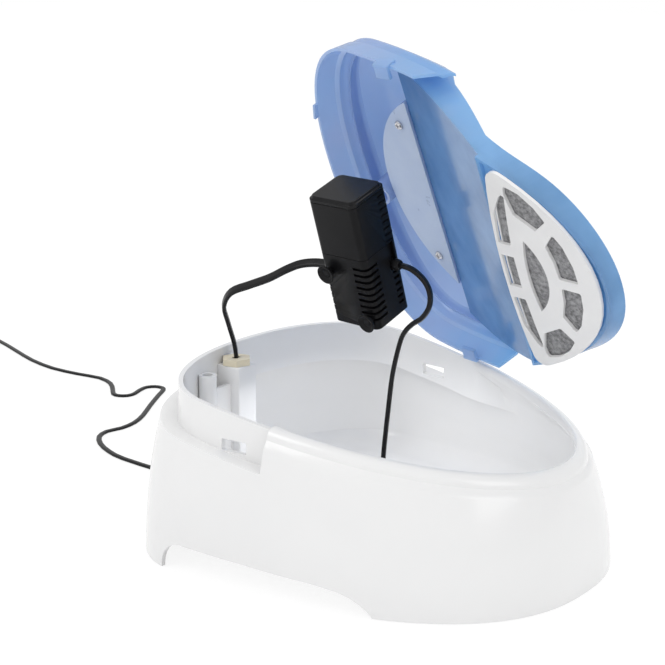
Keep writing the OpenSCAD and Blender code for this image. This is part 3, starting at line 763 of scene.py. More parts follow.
@dataclass
class Tank:
    """The white tank with its cable tower, foot pads, grommet and cord bush, in millimetres."""

    hull: Hull = HULL
    wall: float = 3.0
    floor_t: float = 3.0
    belly_h: float = 14.0
    flank_steps: int = 40
    lip_steps: int = 12
    lip_low: float = -5.0
    lip_rise: float = 7.0
    lip_start: float = 0.3
    lip_round: float = 6.7
    inner_lip_steps: int = 6
    inner_lip_rise: float = 2.2
    inner_lip_round: float = 1.6
    # For each ring of the cavity's floor edge: height, inset and share of the way to the next outline.
    floor_round: tuple[Triple, ...] = (
        (0.0, 26.0, 0.0), (0.9, 19.0, 0.0), (3.0, 13.6, 0.0), (6.0, 9.2, 0.5), (10.0, 6.2, 1.0),
    )
    above: float = 20.0
    arch_back: float = -83.0
    arch_front: float = 70.0
    arch_h: float = 19.0
    # From the arch's rear end: how far forward, and the share of its height.
    arch_rear_bend: tuple[Pair, ...] = (
        (0.3, 0.2), (1.0, 0.38), (2.4, 0.55), (4.6, 0.72), (8.0, 0.87), (12.0, 0.965), (17.0, 1.0),
    )
    # From the arch's front end: how far back, and how far below its top.
    arch_front_bend: tuple[Pair, ...] = (
        (86.0, 0.5), (40.0, 2.6), (30.0, 3.8), (21.0, 5.2), (14.0, 7.6), (8.0, 11.0), (3.5, 14.6),
        (1.0, 17.4),
    )
    window: Triple = (19.0, 30.0, 7.5)
    window_back: float = 28.0
    tower_at: Pair = (-107.0, -27.0)
    tower_w: float = 20.0
    tower_h: float = 108.0
    post_at: Pair = (-106.0, -57.0)
    post_r: float = 6.0
    pad_r: float = 7.0
    pad_h: float = 2.5
    pads_at: tuple[Pair, ...] = ((-112.0, -52.0), (-112.0, 52.0), (98.0, -66.0), (98.0, 66.0), (0.0, 0.0))
    pad_profile: tuple[Pair, ...] = (
        (0.0, 0.2), (5.2, 0.2), (5.6, 0.0), (6.2, 0.1), (6.8, 0.6), (7.0, 1.2), (7.0, 2.5), (0.0, 2.5),
    )
    bead: Triple = (3.0, 11.0, 3.0)
    bead_y: float = 74.0
    bead_turn: float = 52.0
    bush_r: float = 4.2
    # The bush's flange, as (how far outside its radius, height), then each rib's points, as
    # (how far inside its radius, how much further in on each next rib, height).
    bush_lip: tuple[Pair, ...] = ((1.4, 0.0), (1.6, 0.2), (1.6, 1.2), (1.4, 1.4), (0.0, 1.4), (0.0, 8.0))
    bush_rib: tuple[Triple, ...] = ((0.2, 0.3, 8.4), (0.9, 0.2, 8.7), (0.9, 0.2, 9.3), (0.4, 0.3, 9.6))
    bush_ribs: int = 3
    bush_pitch: float = 1.4
    rear_x: float = -150.0
    cord_z: float = 12.0
    bush_seat: float = 5.7
    fade: float = 42.0
    fade_out: float = 15.0

    def outside(self) -> Piece:
        """The tank's outer form, solid, with its rounded lip."""
        h = self.hull
        rings = [h.flat_ring(h.foot, h.pad_proud)]
        rings += [h.flank_ring(step / self.flank_steps) for step in range(2, self.flank_steps - 3)]
        for step in range(self.lip_steps + 1):
            a = math.radians(90.0 * step / self.lip_steps)
            dz = self.lip_low + self.lip_rise * math.sin(a)
            rings.append(h.rim_ring(h.shoulder, dz, self.lip_start + self.lip_round * (1.0 - math.cos(a))))
        return loft("tank_base_skin", rings)

    def cavity(self) -> Piece:
        """The space that holds the water, with a rounded floor edge and lip."""
        h, floor = self.hull, self.belly_h + self.floor_t
        low, next_up = h.flank(0.2), h.flank(0.25)
        rings = [
            h.flat_ring(low.toward(next_up, up), floor + dz, inset) for dz, inset, up in self.floor_round
        ]
        rings += [h.flank_ring(s, self.wall + (s - 0.42) * 4.0) for s in [0.38 + 0.06 * k for k in range(9)]]
        rings += [h.rim_ring(h.shoulder, -6.0, h.lip_w - 1.2), h.rim_ring(h.shoulder, -2.5, h.lip_w)]
        for step in range(1, self.inner_lip_steps + 1):
            a = math.radians(90.0 * step / self.inner_lip_steps)
            dz = self.inner_lip_rise * math.sin(a) - 0.2
            rings.append(h.rim_ring(h.shoulder, dz, h.lip_w - self.inner_lip_round * (1.0 - math.cos(a))))
        rings.append(h.rim_ring(h.shoulder, 3.0, h.lip_w - self.inner_lip_round))
        space = loft("cavity", rings)
        under = -h.band_h - self.wall
        core = h.slab("core", under, self.above, -FAR, h.step_x + self.wall + self.fade)
        inner = loft("inner", [self.fading_ring(under - 1.0), self.fading_ring(self.above + 1.0)])
        return carve(space, [carve(core, [inner])])

    def fading_ring(self, dz: float) -> Place:
        """The inner face of the band, which runs out into the wall in front of the step.

        Args:
            dz: The ring's height above the rim plane.

        Returns:
            The ring.
        """
        h = self.hull

        def place(u: float) -> Vector:
            """The ring's point at a turn."""
            x, y = h.shoulder.at(u, 1.0, h.lip_w)
            share = max(0.0, min(1.0, (x - h.step_x - self.wall) / self.fade))
            x, y = h.shoulder.at(u, 1.0, h.lip_w - self.fade_out * share * share * (3.0 - 2.0 * share))
            return Vector((x, y, h.rim_z(x) + dz))

        return place

    def band(self) -> list[Piece]:
        """The tools that cut the recessed band round the rear half."""
        h = self.hull
        ring = h.slab("band", -h.band_h, self.above, -FAR, h.step_x)
        low = h.rim_ring(h.shoulder, -h.band_h - 1.0, h.band_inset - 0.8)
        ring = carve(ring, [loft("band_core", [low, h.rim_ring(h.shoulder, 0.0, h.band_inset)])])
        return [ring, h.slab("band_top", 0.0, self.above, -FAR, h.step_x)]

    def underside(self) -> Piece:
        """The hollow under the tank, with the belly standing down in it."""
        h, top = self.hull, self.belly_h + 8.0
        low = h.flat_ring(h.foot, -1.0, self.wall)
        hollow = loft("hollow", [low, h.flat_ring(h.flank(0.2), top, self.wall + 0.4)])
        belly = loft(
            "belly",
            [
                h.flat_ring(h.flank(0.15), self.belly_h, 27.0),
                h.flat_ring(h.flank(0.18), self.belly_h + 3.0, 14.0),
                h.flat_ring(h.flank(0.2), top + 0.1, 5.0),
            ],
        )
        return carve(hollow, [belly])

    def arches(self) -> Piece:
        """The finger arch that goes through the skirt in each flank."""
        h, back, front, top = self.hull, self.arch_back, self.arch_front, self.arch_h
        outline = [(back, -1.0), *((back + dx, top * up) for dx, up in self.arch_rear_bend)]
        outline += [*((front - dx, top - dz) for dx, dz in self.arch_front_bend), (front, -1.0)]
        low = h.flat_ring(h.foot, -2.0, self.wall + 1.5)
        keep = loft("keep", [low, h.flat_ring(h.flank(0.2), self.belly_h + 9.0, self.wall + 1.8)])
        return carve(across("arch", outline), [keep])

    def windows(self) -> list[Piece]:
        """The tools that cut the two latch windows."""
        h = self.hull
        x = h.step_x - self.window_back
        z = h.rim_z(x) - h.band_h + self.window[2] / 2 + 1.5
        half = h.shoulder.half
        return [block("window", self.window, (x, side * half, z), edge=0.6) for side in (-1, 1)]

    def tower(self) -> list[Piece]:
        """The cable tower and the round post beside it, with their webs."""
        low = self.belly_h + self.floor_t - 1.5
        w, (x, y), (px, py) = self.tower_w, self.tower_at, self.post_at
        tall, middle = self.tower_h - low, (self.tower_h + low) / 2
        return [
            block("tower", (w, w - 2.0, tall), (x, y, middle), edge=1.2),
            block("tower_web", (6.0, 6.0, tall - 3.0), (x - w / 2 - 1.0, y, middle - 1.5), edge=0.8),
            rod("post", self.post_r, low, self.tower_h - 1.0, self.post_at),
            block("post_web", (5.0, 3.0, tall - 6.0), (px - self.post_r - 0.5, py, middle - 3.0)),
            block("post_rib", (3.0, 16.0, tall - 12.0), (px, py + self.post_r + 7.0, middle - 6.0)),
        ]

    def bores(self) -> list[Piece]:
        """The tools for the tower's shaft, the post's bore, the pads' seats and the cord's hole."""
        bore = self.tower_w - 2 * self.wall
        tools = [block("shaft", (bore, bore - 2.0, FAR), (*self.tower_at, FAR / 2 - 1.0), edge=0.8)]
        tools.append(rod("post_bore", self.post_r - 2.4, self.tower_h - 30.0, FAR, self.post_at))
        tools += [rod("seat", self.pad_r + 0.1, -1.0, self.pad_h, at, 48) for at in self.pads_at]
        hole = rod("cord_hole", self.bush_r, 0.0, 16.0, (0.0, 0.0), 48)
        turn = Matrix.Rotation(math.radians(90.0), 4, "Y")
        hole.data.transform(Matrix.Translation((self.rear_x - 5.0, 0.0, self.cord_z)) @ turn)
        return [*tools, hole]

    def body(self) -> None:
        """Builds the tank itself."""
        h = self.hull
        tank = carve(self.outside(), [self.underside(), self.cavity(), *self.band(), self.arches()])
        top = self.belly_h + 1.5
        bosses = [rod("boss", self.pad_r + 2.0, h.pad_proud, top, at, 48) for at in self.pads_at]
        x, z = h.shoulder.middle - h.shoulder.rear + 15.0, h.rim_z(-110.0) - 14.0
        beads = [
            block("bead", self.bead, (x, side * self.bead_y, z), -self.bead_turn * side, 0.7)
            for side in (-1, 1)
        ]
        carve(tank, [*self.tower(), *bosses, *beads], Cut.ONTO)
        carve(tank, [*self.bores(), *self.windows()])
        tank.name = "tank_body"
        Fitting("base", ("tank_base",), "tank", TANK_WHITE).fit(settle(tank), 28.0)

    def feet(self) -> None:
        """Builds the rubber pads as one piece."""
        pads = []
        for x, y in self.pads_at:
            pads.append(spun("pad", self.pad_profile, 48))
            pads[-1].data.transform(Matrix.Translation((x, y, 0.0)))
        Fitting("base", ("foot_pads",), "pad", PAD_GREY).fit(settle(joined("foot_pads_soft", pads)))

    def trim(self) -> None:
        """Builds the grommet on the tower and the ribbed bush that holds the supply cord."""
        Fitting("base", ("cable_grommet",), "ivory", IVORY).copy("tower_grommet", 0.0006, 3)
        r = self.bush_r
        profile = [(0.0, 0.0), *((r + out, z) for out, z in self.bush_lip)]
        for k in range(self.bush_ribs):
            up = self.bush_pitch * k
            profile += [(r - inset - taper * k, z + up) for inset, taper, z in self.bush_rib]
        bush = spun("cord_bush_soft", [*profile, (2.9, 12.8), (2.7, 13.0), (0.0, 13.0)], 48)
        turn = Matrix.Rotation(math.radians(-90.0), 4, "Y")
        bush.data.transform(Matrix.Translation((self.rear_x + self.bush_seat, 0.0, self.cord_z)) @ turn)
        Fitting("base", ("cord_bush",), "soft", SOFT_BLACK).fit(settle(bush))

    def build(self) -> None:
        """Builds every piece of the tank."""
        self.body()
        self.feet()
        self.trim()


def joined(name: str, parts: Sequence[Piece]) -> Piece:
    """Makes one piece of several that don't touch.

    Args:
        name: The piece's name.
        parts: The parts, which are used up.

    Returns:
        The piece.
    """
    bm = bmesh.new()
    for part in parts:
        bm.from_mesh(part.data)
        bpy.data.meshes.remove(part.data)
    return new_piece(name, bm)


# ---- lid ---------------------------------------------------------------------------


@dataclass
class Lid:
    """The translucent bowl lid, the duct's cover with its screws, and the filter, in millimetres."""

    hull: Hull = HULL
    wall: float = 2.0
    turn: Triple = (-61.6, 4.1, -5.6)
    pivot: Triple = (0.0, 0.0, 100.0)
    held_at: Triple = (42.0, 49.0, 215.0)
    hood_h: float = 40.0
    # The hood's rise, as (share of its height, scale of its outline).
    hood_steps: tuple[Pair, ...] = (
        (0.0, 1.0), (0.05, 0.992), (0.13, 0.965), (0.26, 0.92), (0.41, 0.865), (0.56, 0.8), (0.71, 0.72),
        (0.84, 0.62), (0.93, 0.5), (0.98, 0.36), (1.0, 0.18),
    )
    skirt_low: float = -21.0
    skirt_fall: float = 105.0
    skirt_rings: tuple[float, ...] = (-19.0, -17.0, -15.0, -13.0, -11.0, -9.0, -7.0)
    tip_x: float = 6.5
    # The hood's front edge, as (distance from the tip, height above the rim plane).
    hood_edge: tuple[Pair, ...] = (
        (-17.0, -60.0), (-14.5, -21.5), (-4.0, -3.0), (-1.0, 0.6), (0.0, 2.2), (-1.6, 3.4), (-5.0, 4.4),
        (-10.0, 5.8), (-15.0, 8.0), (-20.0, 11.4), (-25.0, 16.0), (-31.0, 22.5), (-39.0, 31.0),
        (-56.0, 48.0),
    )
    edge_low: float = 11.0
    edge_dip: float = 5.0
    edge_rise: float = 16.0
    dip_x: float = 50.0
    dip_w: float = 30.0
    rise_x: float = 40.0
    filter_back: float = 43.0
    # Where the ramp runs out into the bowl's floor, as (distance from the filter's rear, height).
    ramp_foot: tuple[Pair, ...] = ((-3.0, 2.0), (4.0, 0.5), (12.0, 0.0))
    grille_drop: float = 18.6
    grille_t: float = 2.2
    pad_t: float = 3.0
    cover_x: float = -50.0
    duct_r: float = 85.0
    latch_x: float = -34.5
    rear_tab: Pair = (-127.84, 60.0)
    inlet_at: Pair = (-103.0, 12.0)
    screw_y: float = 54.0
    screw_back: float = 12.0
    spout: Triple = (10.0, 56.0, 11.0)
    slot: Pair = (10.0, 3.0)
    slot_pitch: Pair = (19.0, 14.0)
    tab: Pair = (12.0, 9.0)
    barb: Triple = (11.0, 8.0, 3.0)
    rear_tab_turn: float = 72.0
    rib_w: float = 1.8
    # How deep the blue is painted: on the ramp, at the middle, and at a distance in front and behind; deep
    # is a painted shade and pale a painted highlight.
    ramp_painted_shade: float = 0.9
    middle_painted_shading: float = 0.45
    front_painted_shade: Pair = (0.72, 110.0)
    rear_painted_highlight: Pair = (0.08, 70.0)
    # The felt's mesh step, how far its faces sink, and its waves, as (depth, how many in a metre).
    felt_step: float = 0.0035
    felt_sink: float = 0.00028
    felt_waves: tuple[Pair, ...] = ((0.00026, 260.0), (0.0002, 700.0))

    @property
    def pose(self) -> Matrix:
        """Where the lid is held off the tank."""
        turn = Euler([math.radians(a) for a in self.turn], "XYZ").to_matrix().to_4x4()
        return Matrix.Translation(self.held_at) @ turn @ Matrix.Translation([-p for p in self.pivot])

    @property
    def front_x(self) -> float:
        """The front of the shoulder outline."""
        return self.hull.shoulder.middle + self.hull.shoulder.front

    @property
    def grille_z(self) -> float:
        """The height of the grille's lower face."""
        return self.hull.rim_z(self.front_x) - self.grille_drop

    @property
    def floor_z(self) -> float:
        """The height of the underside of the bowl's floor."""
        return self.grille_z + self.grille_t + self.pad_t + 0.4

    def inside(self, name: str, inset: float, low: float) -> Piece:
        """The space under skirt and hood, drawn in from the lid's outer face.

        Args:
            name: The solid's name.
            inset: How far it is drawn in.
            low: How far below the rim it starts.

        Returns:
            The solid.
        """
        h = self.hull

        def skirt_ring(dz: float) -> Place:
            """A ring of the skirt, flush with the tank's flank."""
            return h.rim_ring(h.flank(1.0 + dz / self.skirt_fall), dz, inset)

        rings = [skirt_ring(low), *(skirt_ring(dz) for dz in self.skirt_rings if dz > low)]
        rings.append(h.rim_ring(h.shoulder, -5.0, 0.3 + inset))
        rings.append(h.rim_ring(h.shoulder, -2.0, 0.25 + inset))
        rings += [
            h.rim_ring(h.shoulder, up * (self.hood_h - inset), (1.0 - up) * inset, scale)
            for up, scale in curve(self.hood_steps, 4)
        ]
        return loft(name, rings)

    def hood(self) -> Piece:
        """The skirt and hood, open below and in front."""
        inner = self.inside("in", self.wall, self.skirt_low - 1.0)
        shell = carve(self.inside("lid", 0.0, self.skirt_low), [inner])
        edge = [(-FAR, -60.0), *((self.tip_x + dx, dz) for dx, dz in self.hood_edge), (-FAR, 48.0)]
        region = across("region", [(x, self.hull.rim_z(x) + dz) for x, dz in edge])
        return carve(shell, [region], Cut.WITHIN)

    def crest(self, x: float) -> float:
        """The height of the bowl's edge above the rim plane."""
        dip = self.edge_dip * math.exp(-(((x - self.dip_x) / self.dip_w) ** 2))
        return -self.edge_low - dip + self.edge_rise * max(0.0, min(1.0, 1.0 - x / self.rise_x))

    def bowl_space(self, name: str, inset: float) -> Piece:
        """The bowl's form without a floor, drawn in from its outer face."""
        h, s = self.hull, self.hull.shoulder
        low = replace(s, front=s.front - 24.5, half=s.half - 15.0)
        edge = replace(s, front=s.front - 14.5, half=s.half - 13.0)
        rings = [h.rim_ring(low, -60.0, inset), h.rim_ring(low, -26.0, inset)]
        for k in range(1, 6):
            dz = -26.0 + 2.5 * k + 0.4 * k * (6 - k) / 9.0
            rings.append(h.rim_ring(low.toward(edge, k / 6.0), dz, inset))
        rings += [h.rim_ring(edge, -11.0, inset), h.rim_ring(edge, 40.0, inset)]
        return loft(name, rings)

    def ramp_z(self, x: float) -> float:
        """The height of the ramp's upper face."""
        back, top = self.cover_x + 2.0, self.floor_z + self.wall
        rise = self.hull.rim_z(back) + 1.8 - top
        return top + rise * (self.filter_back - x) / (self.filter_back - back)

    def bowl(self) -> Piece:
        """The drinking bowl with its ramp, the filter's pocket below and the drain slots."""
        h, wall = self.hull, self.wall
        back, pocket_x, front = self.cover_x, self.filter_back, self.front_x + 10.0
        low = self.grille_z + self.grille_t + 0.3
        side = [(back, self.ramp_z(back) - wall), (pocket_x, self.floor_z), (pocket_x, low), (front, low)]
        side += [(2.0 * k, h.rim_z(2.0 * k) + self.crest(2.0 * k)) for k in range(int(front // 2), -1, -1)]
        side += [(x, h.rim_z(x) + up) for x, up in ((-8.0, 12.0), (-16.0, 21.0), (back, 36.0))]
        body = carve(self.bowl_space("bowl", 0.0), [across("side", side)], Cut.WITHIN)
        top = self.floor_z + wall
        dish = [(x, self.ramp_z(x)) for x in (back - 3.0, pocket_x - 9.0)]
        dish += [(pocket_x + dx, top + dz) for dx, dz in self.ramp_foot]
        dish += [(FAR, top), (FAR, FAR), (back - 3.0, FAR)]
        hollow = carve(self.bowl_space("dish", wall), [across("above", dish)], Cut.WITHIN)
        start = pocket_x + wall
        below = [(start, 0.0), (FAR, 0.0), (FAR, self.floor_z), (start, self.floor_z)]
        pocket = carve(self.bowl_space("pocket", wall), [across("below", below)], Cut.WITHIN)
        return carve(body, [hollow, pocket, *self.drain_slots()])

    def drain_slots(self) -> list[Piece]:
        """The tools that cut three rows of drain slots, each row shorter than the one behind it."""
        slots, (long, across_w), (row_pitch, slot_pitch) = [], self.slot, self.slot_pitch
        for row in range(3):
            for i in range(row - 3, 4 - row):
                at = (self.filter_back + 20.0 + row_pitch * row, i * slot_pitch, self.floor_z + 1.0)
                slots.append(block("slot", (long, across_w, 2 * self.wall + 2.0), at, edge=1.2))
        return slots

    def tabs(self) -> list[Piece]:
        """The four springy tabs under the skirt, two of them with barbs."""
        h, tabs, edge = self.hull, [], 0.5
        p = h.flank(1.0 + self.skirt_low / self.skirt_fall)
        share = ((self.latch_x - p.middle) / p.front) ** p.front_power
        out = p.half * (1.0 - share) ** (1.0 / p.front_power) + 0.15
        z = h.rim_z(self.latch_x) + self.skirt_low
        rear_z = h.rim_z(self.rear_tab[0]) + self.skirt_low
        long, tall = self.tab
        size = (long, self.wall, tall)
        barb_long, reach, barb_t = self.barb
        a = math.radians(self.rear_tab_turn)
        rear_x, rear_y = self.rear_tab[0] + math.sin(a), self.rear_tab[1] - math.cos(a)
        for side in (-1, 1):
            tabs.append(block("tab", size, (self.latch_x, side * (out - 1.0), z + 0.9), edge=edge))
            barb_y = side * (out - self.wall - reach / 2 + 0.25)
            barb = (barb_long, reach + 0.5, barb_t)
            tabs.append(block("barb", barb, (self.latch_x, barb_y, z - 1.9), edge=edge))
            at = (rear_x, side * rear_y, rear_z + 0.9)
            tabs.append(block("rear_tab", size, at, side * self.rear_tab_turn, edge))
        return tabs

    def crescent(self, name: str, inset: float, low: float, high: float) -> Piece:
        """The water duct's crescent as an upright solid.

        Args:
            name: The solid's name.
            inset: How far it is drawn in.
            low: Its lower end.
            high: Its upper end.

        Returns:
            The solid.
        """
        disc = rod(name, self.duct_r - inset, low, high, (self.cover_x + 41.0, 0.0), 144)
        edge = self.cover_x - inset
        half = across("half", [(edge - FAR, -FAR), (edge, -FAR), (edge, FAR), (edge - FAR, FAR)])
        return carve(disc, [half], Cut.WITHIN)

    def screw_frame(self, side: int) -> Matrix:
        """The frame of a screw, square to the rim plane."""
        x = self.cover_x - self.screw_back
        lean = Matrix.Rotation(math.atan(self.hull.rim_fall), 4, "Y")
        return Matrix.Translation((x, side * self.screw_y, self.hull.rim_z(x))) @ lean

    def under_hood(self) -> Piece:
        """What hangs under the hood: the rest rib, the bowl, the duct's wall, the bosses and the inlet."""
        h, s = self.hull, self.hull.shoulder
        inset = h.band_inset + 0.6
        deep = inset + self.rib_w
        rib = loft("rib", [h.rim_ring(s, 0.4, inset), h.rim_ring(s, 30.0, inset)])
        core = loft("core", [h.rim_ring(s, -1.0, deep), h.rim_ring(s, 31.0, deep)])
        rib = carve(carve(rib, [core]), [h.slab("rear", -1.0, 60.0, -FAR, -15.3)], Cut.WITHIN)
        hollow = self.crescent("hollow", self.wall, -1.0, FAR + 1.0)
        duct = carve(self.crescent("duct", 0.0, 0.0, FAR), [hollow])
        duct = carve(duct, [h.slab("above_rim", 0.1, 60.0, -FAR, FAR)], Cut.WITHIN)
        parts = [self.bowl(), duct]
        for side in (-1, 1):
            boss = rod("boss", 3.8, 0.1, 60.1, (0.0, 0.0), 48)
            boss.data.transform(self.screw_frame(side))
            parts.append(boss)
        low = h.rim_z(self.inlet_at[0]) - 8.0
        parts.append(rod("socket", 8.4, low, low + 60.0, self.inlet_at))
        carve(rib, parts, Cut.ONTO)
        return carve(rib, [self.inside("trim", self.wall / 2, -60.0)], Cut.WITHIN)

    def shell(self) -> None:
        """Builds the lid's moulding."""
        h = self.hull
        lid = carve(self.hood(), [*self.tabs(), self.under_hood()], Cut.ONTO)
        spout_at = (self.cover_x, 0.0, self.ramp_z(self.cover_x) + self.spout[2] / 2)
        tools = [block("spout", self.spout, spout_at, edge=1.5)]
        (x, y), wall_low = self.inlet_at, h.rim_z(self.inlet_at[0])
        tools.append(rod("inlet", 6.3, wall_low - 9.0, wall_low + 10.0, self.inlet_at))
        tools.append(block("inlet_side", (14.0, 8.0, 7.5), (x + 7.0, y, wall_low + 5.75)))
        for side in (-1, 1):
            hole = rod("screw_hole", 1.5, -1.0, 11.0, (0.0, 0.0), 32)
            hole.data.transform(self.screw_frame(side))
            tools.append(hole)
        carve(lid, tools)
        lid.name = "lid_moulding"
        # painted light: each face gets how far its blue is painted from highlight to shade
        self.painted_shading(lid.data)
        Fitting("lid", ("lid_shell",), "lid", LID_BLUE).fit(settle(lid, self.pose), 28.0)

    def painted_shading(self, mesh: bpy.types.Mesh) -> None:
        """Notes for each face how deep its blue is painted: the ramp gets the deepest painted shade and the
        hood's rear the palest painted highlight.

        Args:
            mesh: The lid's mesh, in millimetres and not yet posed.
        """
        depth = mesh.attributes.new("painted_shading", "FLOAT", "FACE")
        slope = Vector((self.ramp_z(0.0) - self.ramp_z(1.0), 0.0, 1.0)).normalized()
        for face in mesh.polygons:
            x, _, z = face.center
            in_ramp = abs(z - self.ramp_z(x) + self.wall / 2) < self.wall
            in_ramp = in_ramp and self.cover_x < x < self.filter_back + 1.0
            if in_ramp and abs(face.normal.dot(slope)) > 0.99:
                value = self.ramp_painted_shade
            else:
                painted_shading, reach = self.front_painted_shade if x > 0.0 else self.rear_painted_highlight
                value = mix(self.middle_painted_shading, painted_shading, min(1.0, abs(x) / reach))
            depth.data[face.index].value = value

    def trim(self) -> None:
        """Builds the duct's cover, its screws and the filter's grille."""
        Fitting("lid", ("duct_cover",), "duct", DUCT_CLEAR).copy("duct_crescent", 0.0005)
        Fitting("lid", ("duct_screws",), "steel", BRIGHT_STEEL).copy("cover_screws", 0.0002)
        Fitting("filter", ("filter_grille",), "grille", GRILLE_WHITE).copy("filter_frame", 0.0005, 3)

    def felt(self) -> None:
        """Builds the felt pad, whose faces rise and sink a little, as felt does."""
        pad = merged_copy("filter_pad", "felt_pad")
        bm = bmesh.new()
        bm.from_mesh(pad.data)
        bpy.data.meshes.remove(pad.data)
        bmesh.ops.triangulate(bm, faces=bm.faces[:])
        for _ in range(5):
            long = [e for e in bm.edges if e.calc_length() > self.felt_step]
            bmesh.ops.subdivide_edges(bm, edges=long, cuts=1, use_grid_fill=False)
            bmesh.ops.triangulate(bm, faces=bm.faces[:])
        bm.normal_update()
        for v in bm.verts:
            wave = sum(depth * noise.noise(v.co * often) for depth, often in self.felt_waves)
            v.co -= v.normal * (self.felt_sink + wave)
        fresh = new_piece("felt_filter", bm)
        Fitting("filter", ("filter_pad",), "felt", FELT_GREY).fit(fresh, 60.0)

    def build(self) -> None:
        """Builds every piece of the lid."""
        self.shell()
        self.trim()
        self.felt()


# ---- pump --------------------------------------------------------------------------


@dataclass
class Pump:
    """The submersible pump, hanging on its lead, with its strainer and hidden works, in millimetres."""

    turn: Triple = (20.0, 2.0, -3.0)
    held_at: Triple = (5.0, -38.0, 201.0)
    depth: float = 32.0
    cups_at: tuple[Pair, ...] = ((-12.5, -7.5), (12.5, -37.5))
    cup_profile: tuple[Pair, ...] = (
        (0.0, 0.0), (2.4, 0.0), (2.6, 0.3), (2.6, 1.3), (2.9, 1.8), (4.4, 2.3), (5.4, 3.2), (6.15, 4.3),
        (6.2, 4.7), (5.9, 4.95), (5.5, 4.95), (4.6, 4.1), (3.4, 3.4), (2.6, 3.2), (2.2, 3.5), (1.0, 3.7),
        (0.0, 3.7),
    )

    @property
    def pose(self) -> Matrix:
        """Where the pump hangs."""
        turn = Euler([math.radians(a) for a in self.turn], "XYZ").to_matrix().to_4x4()
        return Matrix.Translation(self.held_at) @ turn

    def casings(self) -> None:
        """Builds the moulded casings with softened edges."""
        for node, name, body, finish, width, segments in (
            ("pump_housing", "motor_casing", "base", PUMP_BLACK, 0.0004, 2),
            ("pump_cap", "motor_cap", "base", CAP_BLACK, 0.0006, 3),
            ("pump_outlet", "outlet_nozzle", "base", PUMP_BLACK, 0.0004, 2),
            ("volute_plate", "volute_disc", "base", PUMP_BLACK, 0.0002, 2),
            ("pump_strainer", "strainer_casing", "strainer", PUMP_BLACK, 0.0003, 2),
        ):
            Fitting(body, (node,), "black", finish).copy(name, width, segments)

    def cups(self) -> None:
        """Builds the two suction cups and the rubber glands of the leads."""
        cups, lay = [], Matrix.Rotation(math.radians(90.0), 4, "X")
        for x, z in self.cups_at:
            cups.append(spun("cup", self.cup_profile, 64))
            cups[-1].data.transform(Matrix.Translation((x, -self.depth / 2, z)) @ lay)
        cup = settle(joined("cups_soft", cups), self.pose)
        Fitting("strainer", ("suction_cups",), "soft", SOFT_BLACK).fit(cup)
        Fitting("base", ("lead_glands",), "soft", SOFT_BLACK).copy("glands_soft", 0.0003)

    def works(self) -> None:
        """Dresses the pieces that are shut inside the pump."""
        for node, finish, slot in (
            ("stator_core", CORE_STEEL, "core"),
            ("stator_coil", COPPER_WIRE, "copper"),
            ("impeller_shaft", CERAMIC, "ceramic"),
            ("shaft_bushes", SOFT_BLACK, "soft"),
            ("impeller", IVORY, "ivory"),
            ("impeller_magnet", MAGNET_GREY, "magnet"),
        ):
            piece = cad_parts[node]
            piece.data.materials.clear()
            piece.data.materials.append(finish.make())

    def build(self) -> None:
        """Builds every piece of the pump."""
        self.casings()
        self.cups()
        self.works()


# ---- leads and cord ------------------------------------------------------------------


def route_length(route: Sequence[Vector]) -> float:
    """The length of a route through its points."""
    return sum((b - a).length for a, b in zip(route, route[1:]))


def refined(route: Sequence[Triple], between: int) -> list[Vector]:
    """A route in metres, on a smooth curve through given points in millimetres."""
    return [Vector(point) * MM for point in curve(route, between)]


@dataclass
class FlatCord:
    """A flat twin cord, in metres: two round cores side by side in one sheath."""

    name: str
    route: list[Vector]
    width: float
    thick: float
    wide_way: Vector
    sides: int = 20
    level: bool = False
    waist: float = 0.16
    waist_w: float = 0.3
    bulge: float = 0.75
    end_scale: float = 0.7
    end_push: float = 0.2

    def section(self, turn: float) -> Pair:
        """A point of the cord's cross-section, drawn in between its two cores.

        Args:
            turn: The angle in radians.

        Returns:
            How far it is along the width and the thickness.
        """
        across_w, up = math.cos(turn), math.sin(turn)
        waist = 1.0 - self.waist * math.exp(-((across_w / self.waist_w) ** 2))
        return self.width / 2 * curved(across_w, self.bulge), self.thick / 2 * curved(up, self.bulge) * waist

    def frames(self) -> list[tuple[Vector, Vector, Vector]]:
        """The cord's centre, width direction and thickness direction at each point."""
        made, points = [], self.route
        wide = self.wide_way.normalized()
        for i, point in enumerate(points):
            along = (points[min(i + 1, len(points) - 1)] - points[max(i - 1, 0)]).normalized()
            if self.level:
                wide = Vector((0.0, 0.0, 1.0)).cross(along)
            wide = (wide - along * wide.dot(along)).normalized()
            made.append((point, wide.copy(), along.cross(wide)))
        return made

    def build(self) -> Piece:
        """Builds the cord as a closed tube with rounded ends.

        Returns:
            The tube, in metres.
        """

        def ring(frame_at: tuple[Vector, Vector, Vector], scale: float, push: Vector) -> Place:
            """A ring of the tube, scaled and pushed along it."""
            centre, wide, up = frame_at

            def place(u: float) -> Vector:
                """The ring's point at a turn."""
                w, t = self.section(u)
                return centre + push + wide * (w * scale) + up * (t * scale)

            return place

        frames = self.frames()
        first = (self.route[0] - self.route[1]).normalized() * self.thick * self.end_push
        last = (self.route[-1] - self.route[-2]).normalized() * self.thick * self.end_push
        rings = [ring(frames[0], self.end_scale, first)]
        rings += [ring(f, 1.0, Vector()) for f in frames]
        rings += [ring(frames[-1], self.end_scale, last)]
        return loft(self.name, rings, self.sides)


